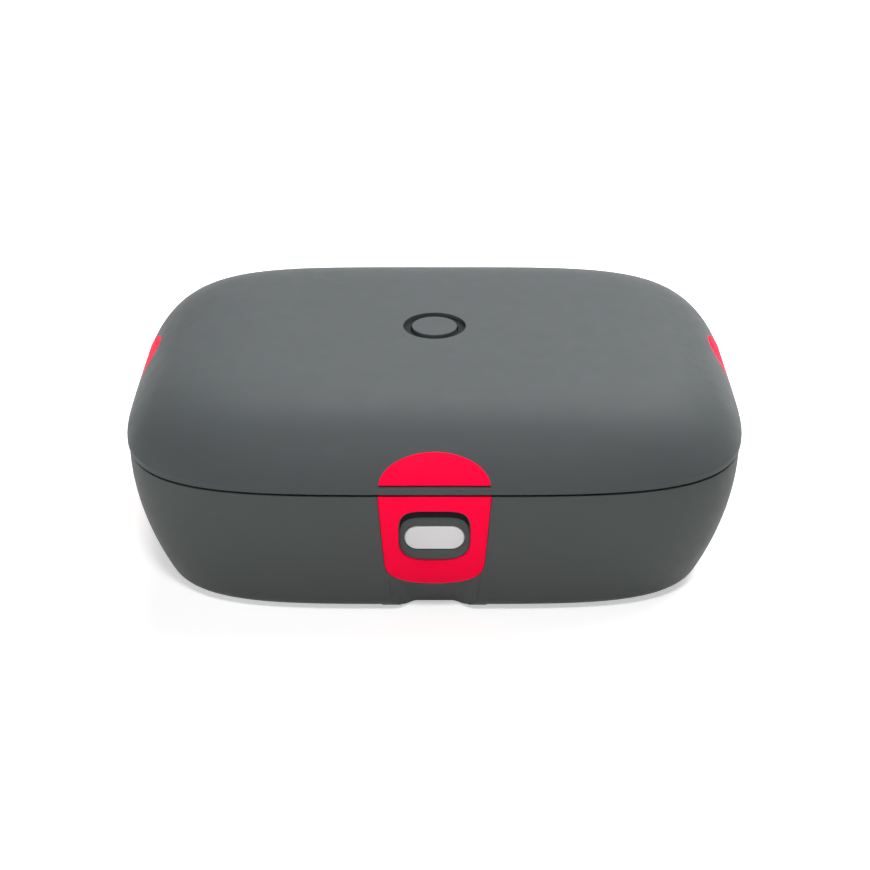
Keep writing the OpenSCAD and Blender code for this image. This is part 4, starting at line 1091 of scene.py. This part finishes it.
PAN_LOW, _ = heights("lid_liner")
PAN_MIDDLE, PAN_HOLE_R, PAN_EDGE = 52, 4.5, LID_WALL + 0.8
WALL_TOP_IN, WALL_FOOT_IN, WALL_FOOT_OUT, WALL_TOP_OUT = 29.4, 23.6, 21.8, 27.6
SEAL_INSET, SEAL_W, SEAL_GROOVE = TUB_INSET - TRAY_LIP + 1, 4.0, 1.4
groove_in, groove_out = SEAL_INSET + SEAL_W + FIT, SEAL_INSET - FIT
groove_top, pan_upper, roof_upper = PAN_LOW + SEAL_GROOVE, PAN_LOW + LINER_T, PAN_TOP + LINER_T
pan = pan_loft("lid_liner_smooth", [
    (PAN_MIDDLE, PAN_TOP), (WALL_TOP_IN, PAN_TOP), (WALL_FOOT_IN, PAN_LOW), (groove_in, PAN_LOW),
    (groove_in, groove_top), (groove_out, groove_top), (groove_out, PAN_LOW), (PAN_EDGE, PAN_LOW),
    (PAN_EDGE, pan_upper), (WALL_FOOT_OUT, pan_upper), (WALL_TOP_OUT, roof_upper),
    (PAN_MIDDLE, roof_upper)], [0, 3, 1.6, 0.2, 0.15, 0.15, 0.2, 0.3, 0.3, 1.8, 4, 0])
cut(pan, rod("vent", PAN_HOLE_R, (0, 0, PAN_TOP - 1), (0, 0, PAN_TOP + 4), 64))
cut(pan, *screw_seats(LID_SCREW_INSET, pan_upper + 1, PAN_LOW + HEAD_T, PAN_LOW - 1),
    *catch_slots(FIT, FIT, 0, 8))
finish_piece(pan)

seal_foot, seal_head = heights("lid_seal")
seal_in, seal_out = SEAL_INSET + SEAL_W, SEAL_INSET
web = seal_head - 1.25
seal_profile = rounded([
    (seal_out + 0.1, seal_head), (seal_out + 0.1, seal_head - 1.1), (seal_out + 0.7, seal_foot),
    (seal_out + 1.4, seal_foot), (seal_out + 1.9, web), (seal_in - 1.5, web),
    (seal_in - 0.9, seal_foot + 0.1), (seal_in - 0.2, seal_foot + 0.1),
    (seal_in - 0.1, seal_head - 1.1), (seal_in - 0.1, seal_head)],
    [0.2, 0.2, 0.25, 0.25, 0.3, 0.3, 0.25, 0.25, 0.2, 0.2], 3)
finish_piece(loft("lid_seal_lipped", [seam_ring(i, z) for i, z in seal_profile], caps=False))


# ---- screws, feet and pins
def screw_shape():
    """A flat-headed screw with a crossed recess: its head's underside at zero, its thread below."""
    profile = [(0.0, HEAD_T), (2.1, HEAD_T - 0.02), (2.62, HEAD_T - 0.16), (HEAD_R, HEAD_T - 0.42),
               (HEAD_R, 0.0), (SCREW_R, 0.0)]
    core, tip, height = SCREW_R - THREAD_DEPTH, HEAD_T - SCREW_L, -0.8
    while height > tip + 1.6:
        profile += [(SCREW_R, height), (core, height - THREAD_PITCH * 0.35),
                    (core, height - THREAD_PITCH * 0.65)]
        height -= THREAD_PITCH
    profile += [(SCREW_R, height), (0.5, tip + 0.15), (0.0, tip)]
    shape = turned("screw", profile, 32)
    bar = pill(2.9, 0.6, 0.2, 3)
    for outline in (bar, bar[:, ::-1]):
        cut(shape, prism("cross", outline, upright, HEAD_T - 0.7, HEAD_T + 1))
    return shape


def screws(name, spots, z, upside_down):
    """Screws at these places, with their heads' undersides at one height."""
    places = [placed_at(*spot[:2], z, math.radians(37 * i + 11), upside_down)
              for i, spot in enumerate(spots)]
    finish_piece(copies(name, screw_shape(), places))


screws("liner_screws_cut", screw_spots(TUB_SCREW_INSET), LINER_TOP - HEAD_T, False)
screws("lid_screws_cut", screw_spots(LID_SCREW_INSET), PAN_LOW + HEAD_T, True)
screws("cover_screws_cut", COVER_SCREWS, base_low[2] + HEAD_T, True)

feet_low, feet_high = span("feet")
FOOT_R, FOOT_HOLLOW = 8.0, 0.35
FOOT_X, FOOT_Y = feet_high[0] - FOOT_R, feet_high[1] - FOOT_R
foot_shape = turned("foot", rounded(
    [(0.0, feet_low[2] + FOOT_HOLLOW), (4.6, feet_low[2] + FOOT_HOLLOW), (5.2, feet_low[2]),
     (FOOT_R, feet_low[2]), (FOOT_R, feet_high[2]), (0.0, feet_high[2])],
    [0, 0.3, 0.3, 0.45, 0.2, 0], 4, False), 64)
finish_piece(copies("feet_moulded", foot_shape,
                    [placed_at(x, y, 0) for x in (-FOOT_X, FOOT_X) for y in (-FOOT_Y, FOOT_Y)]))


def pin(name, r, length):
    """A pin along X with its ends chamfered."""
    half, chamfer = length / 2, 0.3
    shape = turned(name, [(0, -half), (r - chamfer, -half), (r, -half + chamfer),
                          (r, half - chamfer), (r - chamfer, half), (0, half)], 48)
    shape.data.transform(Matrix.Rotation(math.pi / 2, 4, "Y"))
    return shape


finish_piece(copies("hinge_pins_turned", pin("pin", HINGE_PIN_R, 2 * (pin_high[0] - HINGE_X)),
                    [placed_at(x, HINGE_Y, SEAM_Z) for x in (-HINGE_X, HINGE_X)]))
PIVOT_L = 15.6
pivot_pins = at_latches(lambda: copies("pivot", pin("pivot", PIVOT_R, PIVOT_L),
                                       [placed_at(0, PIVOT_DEPTH, -PIVOT_DROP)]))
finish_piece(merged("hook_pins_turned", pivot_pins))

# ---- heater, wires and inlet pins
element_low, element_high = span("heating_element")
COLD_L, COLD_R = 8.0, 1.0
ELEMENT_X, ELEMENT_Z = element_high[0] - COLD_L, (element_low[2] + element_high[2]) / 2
ELEMENT_R, BEND = 3.3, 30.0
bend = [(-ELEMENT_X - BEND * math.sin(t), BEND * math.cos(t), ELEMENT_Z)
        for t in np.linspace(0, math.pi, 49)]
ends = [(ELEMENT_X - 1.2, y, ELEMENT_Z) for y in (BEND, -BEND)]
heater = [tube("tube", [ends[0], *bend, ends[1]], ELEMENT_R, 32)]
for y in (-BEND, BEND):
    for name, r, x_from, x_to, sides in (
            ("bush", ELEMENT_R - 0.5, ELEMENT_X - 1.4, ELEMENT_X, 32),
            ("cold_pin", COLD_R, ELEMENT_X - 1, ELEMENT_X + COLD_L, 24)):
        heater.append(rod(name, r, (x_from, y, ELEMENT_Z), (x_to, y, ELEMENT_Z), sides))
finish_piece(merged("heating_element_bent", heater))

BOARD_EDGE, WIRE_Z, WIRE_R = 61.0, 8.9, 0.9
INLET_TAIL, INLET_PITCH = 6, 8.6
inlet_end = HALF_D - INLET_REACH - INLET_TAIL - WIRE_R - 0.05
pin_end = ELEMENT_X + COLD_L + 0.1
routes = []
for lane in (0, 1):
    start, lower = (0.5 - lane) * INLET_PITCH, lane * 4
    routes.append([
        (start - 2, inlet_end, INLET_Z), (start + 6, inlet_end - lane * 3, INLET_Z),
        (30, inlet_end - 3 - lane * 3, INLET_Z - 2), (BOARD_EDGE - 8, 50 - lower, WIRE_Z + 1),
        (BOARD_EDGE - 2, 30 - lower, WIRE_Z), (BOARD_EDGE + 1, 28 - lower, WIRE_Z),
        (BOARD_EDGE + 3, 28 - lower, WIRE_Z)])
for y in (-BEND, BEND):
    routes.append([
        (pin_end, y, ELEMENT_Z), (pin_end + 2 * WIRE_R, y, ELEMENT_Z),
        (BOARD_EDGE - 2, y * 0.95, WIRE_Z + 5), (BOARD_EDGE + 0.5, y * 0.9, WIRE_Z + 0.5),
        (BOARD_EDGE + 2.5, y * 0.9, WIRE_Z)])
wires = [tube("wire", smoothed(route), WIRE_R, 14) for route in routes]
finish_piece(merged("wiring_run", wires), 60)

prong_low, prong_high = span("inlet_pins")
PRONG_R = 1.18
tip, tail = prong_high[1], prong_low[1]
prong_profile = [(0, tail), (PRONG_R - 0.2, tail), (PRONG_R, tail + 0.2), (PRONG_R, tip - 1.1),
                 (PRONG_R * 0.86, tip - 0.5), (PRONG_R * 0.5, tip - 0.1), (0, tip)]
prongs = []
for x in (prong_low[0] + PRONG_R, prong_high[0] - PRONG_R):
    prong = turned("prong", prong_profile, 32)
    prong.data.transform(placed_at(x, 0, INLET_Z) @ Matrix.Rotation(-math.pi / 2, 4, "X"))
    prongs.append(prong)
finish_piece(merged("inlet_pins_turned", prongs))

# ---- CAD nodes with plain edges eased
EASED = {"bottom_cover": 0.3, "heat_plate": 0.4, "power_inlet": 0.25, "control_board": 0.15,
         "insulation_mat": 0.6, "lid_catches": 0.2, "thermostat": 0.3, "thermal_fuse": 0.15,
         "latch_hook_front": 0.25, "latch_hook_left": 0.25, "latch_hook_right": 0.25}
for node, width in EASED.items():
    finish_piece(copied(node, width))

# The CAD nodes themselves take their materials too
for node, slot_name in SLOTS.items():
    NODES[node].data.materials.clear()
    NODES[node].data.materials.append(SLOT_MATERIALS[slot_name])

# ---- studio
IMAGE, CENTRE_PX, FOCAL_PX, SENSOR = 870, 434.5, 1815.6, 36.0
EYE_DISTANCE, EYE_ELEVATION = 0.8584, math.radians(27.96)
AIM = Vector((0, 0, 41.7 * MM))
SUBJECT = Vector((0, 0, 0.05))
LAMPS = (
    ("key", (0.0, -0.98, 1.38), (0.3, 0.2), 14.0),
    ("front low", (0.0, -1.6, 0.4), (1.2, 0.5), 3.5),
    ("overhead back", (0.3, 0.8, 1.3), (1.4, 0.8), 28.0),
    ("right high", (0.85, 0.3, 1.45), (0.8, 0.8), 11.5),
    ("back right", (0.9, 1.3, 1.0), (1.1, 0.8), 5.0),
    ("left fill", (-1.6, -0.35, 0.4), (0.6, 0.5), 7.0),
)

camera_data = bpy.data.cameras.new("camera")
camera_data.lens = FOCAL_PX / IMAGE * SENSOR
camera_data.sensor_width = SENSOR
camera_data.shift_x = (IMAGE / 2 - CENTRE_PX) / IMAGE
camera = linked("camera", camera_data)
away = Vector((0, -math.cos(EYE_ELEVATION), math.sin(EYE_ELEVATION)))
camera.location = AIM + away * EYE_DISTANCE
camera.rotation_euler = (math.pi / 2 - EYE_ELEVATION, 0, 0)
bpy.context.scene.camera = camera

for name, spot, size, watts in LAMPS:
    lamp_data = bpy.data.lights.new(name, "AREA")
    lamp_data.shape = "RECTANGLE"
    lamp_data.size, lamp_data.size_y = size
    lamp_data.energy = watts
    lamp = linked(name, lamp_data)
    lamp.location = spot
    lamp.rotation_euler = (SUBJECT - Vector(spot)).to_track_quat("-Z", "Y").to_euler()


def shown_white(tree):
    """One where the camera, glossy or transmission rays look, and nought for all other rays."""
    rays = new_node(tree, "LightPath", {}).outputs
    seen = rays["Is Camera Ray"]
    for kind in ("Is Glossy Ray", "Is Transmission Ray"):
        seen = new_node(tree, "Math", {0: seen, 1: rays[kind]}, operation="MAXIMUM").outputs[0]
    return seen


WORLD_LIGHT = 0.03
world = bpy.data.worlds.new("world")
bpy.context.scene.world = world
world.use_nodes = True
sky = world.node_tree
strength = new_node(sky, "Mix", {"Factor": shown_white(sky), "A": WORLD_LIGHT, "B": 1.0})
feed(sky, sky.nodes["Background"], {"Color": (1, 1, 1, 1), "Strength": strength.outputs["Result"]})

# A floor that looks whiter with its distance from the object, and lights nothing
FLOOR_HALF = 3000.0
floor = make("floor", [(x * FLOOR_HALF, y * FLOOR_HALF, 0)
                       for x, y in ((-1, -1), (1, -1), (1, 1), (-1, 1))], [(0, 1, 2, 3)])
floor_material, tree, shader = material("floor", (0.8, 0.8, 0.8), 0.9, specular=0.1)
place = new_node(tree, "TexCoord", {}).outputs["Object"]
far = new_node(tree, "VectorMath", {0: place}, operation="LENGTH").outputs["Value"]
brighten = new_node(tree, "MapRange", {"Value": far, "From Min": 0.35, "From Max": 1.1,
                                       "To Min": 0.5, "To Max": 1.0}).outputs["Result"]
glow = new_node(tree, "Math", {0: shown_white(tree), 1: brighten}, operation="MULTIPLY")
feed(tree, shader, {"Emission Color": (1, 1, 1, 1), "Emission Strength": glow.outputs[0]})
floor.data.materials.append(floor_material)

bpy.context.scene.view_settings.view_transform = "Standard"
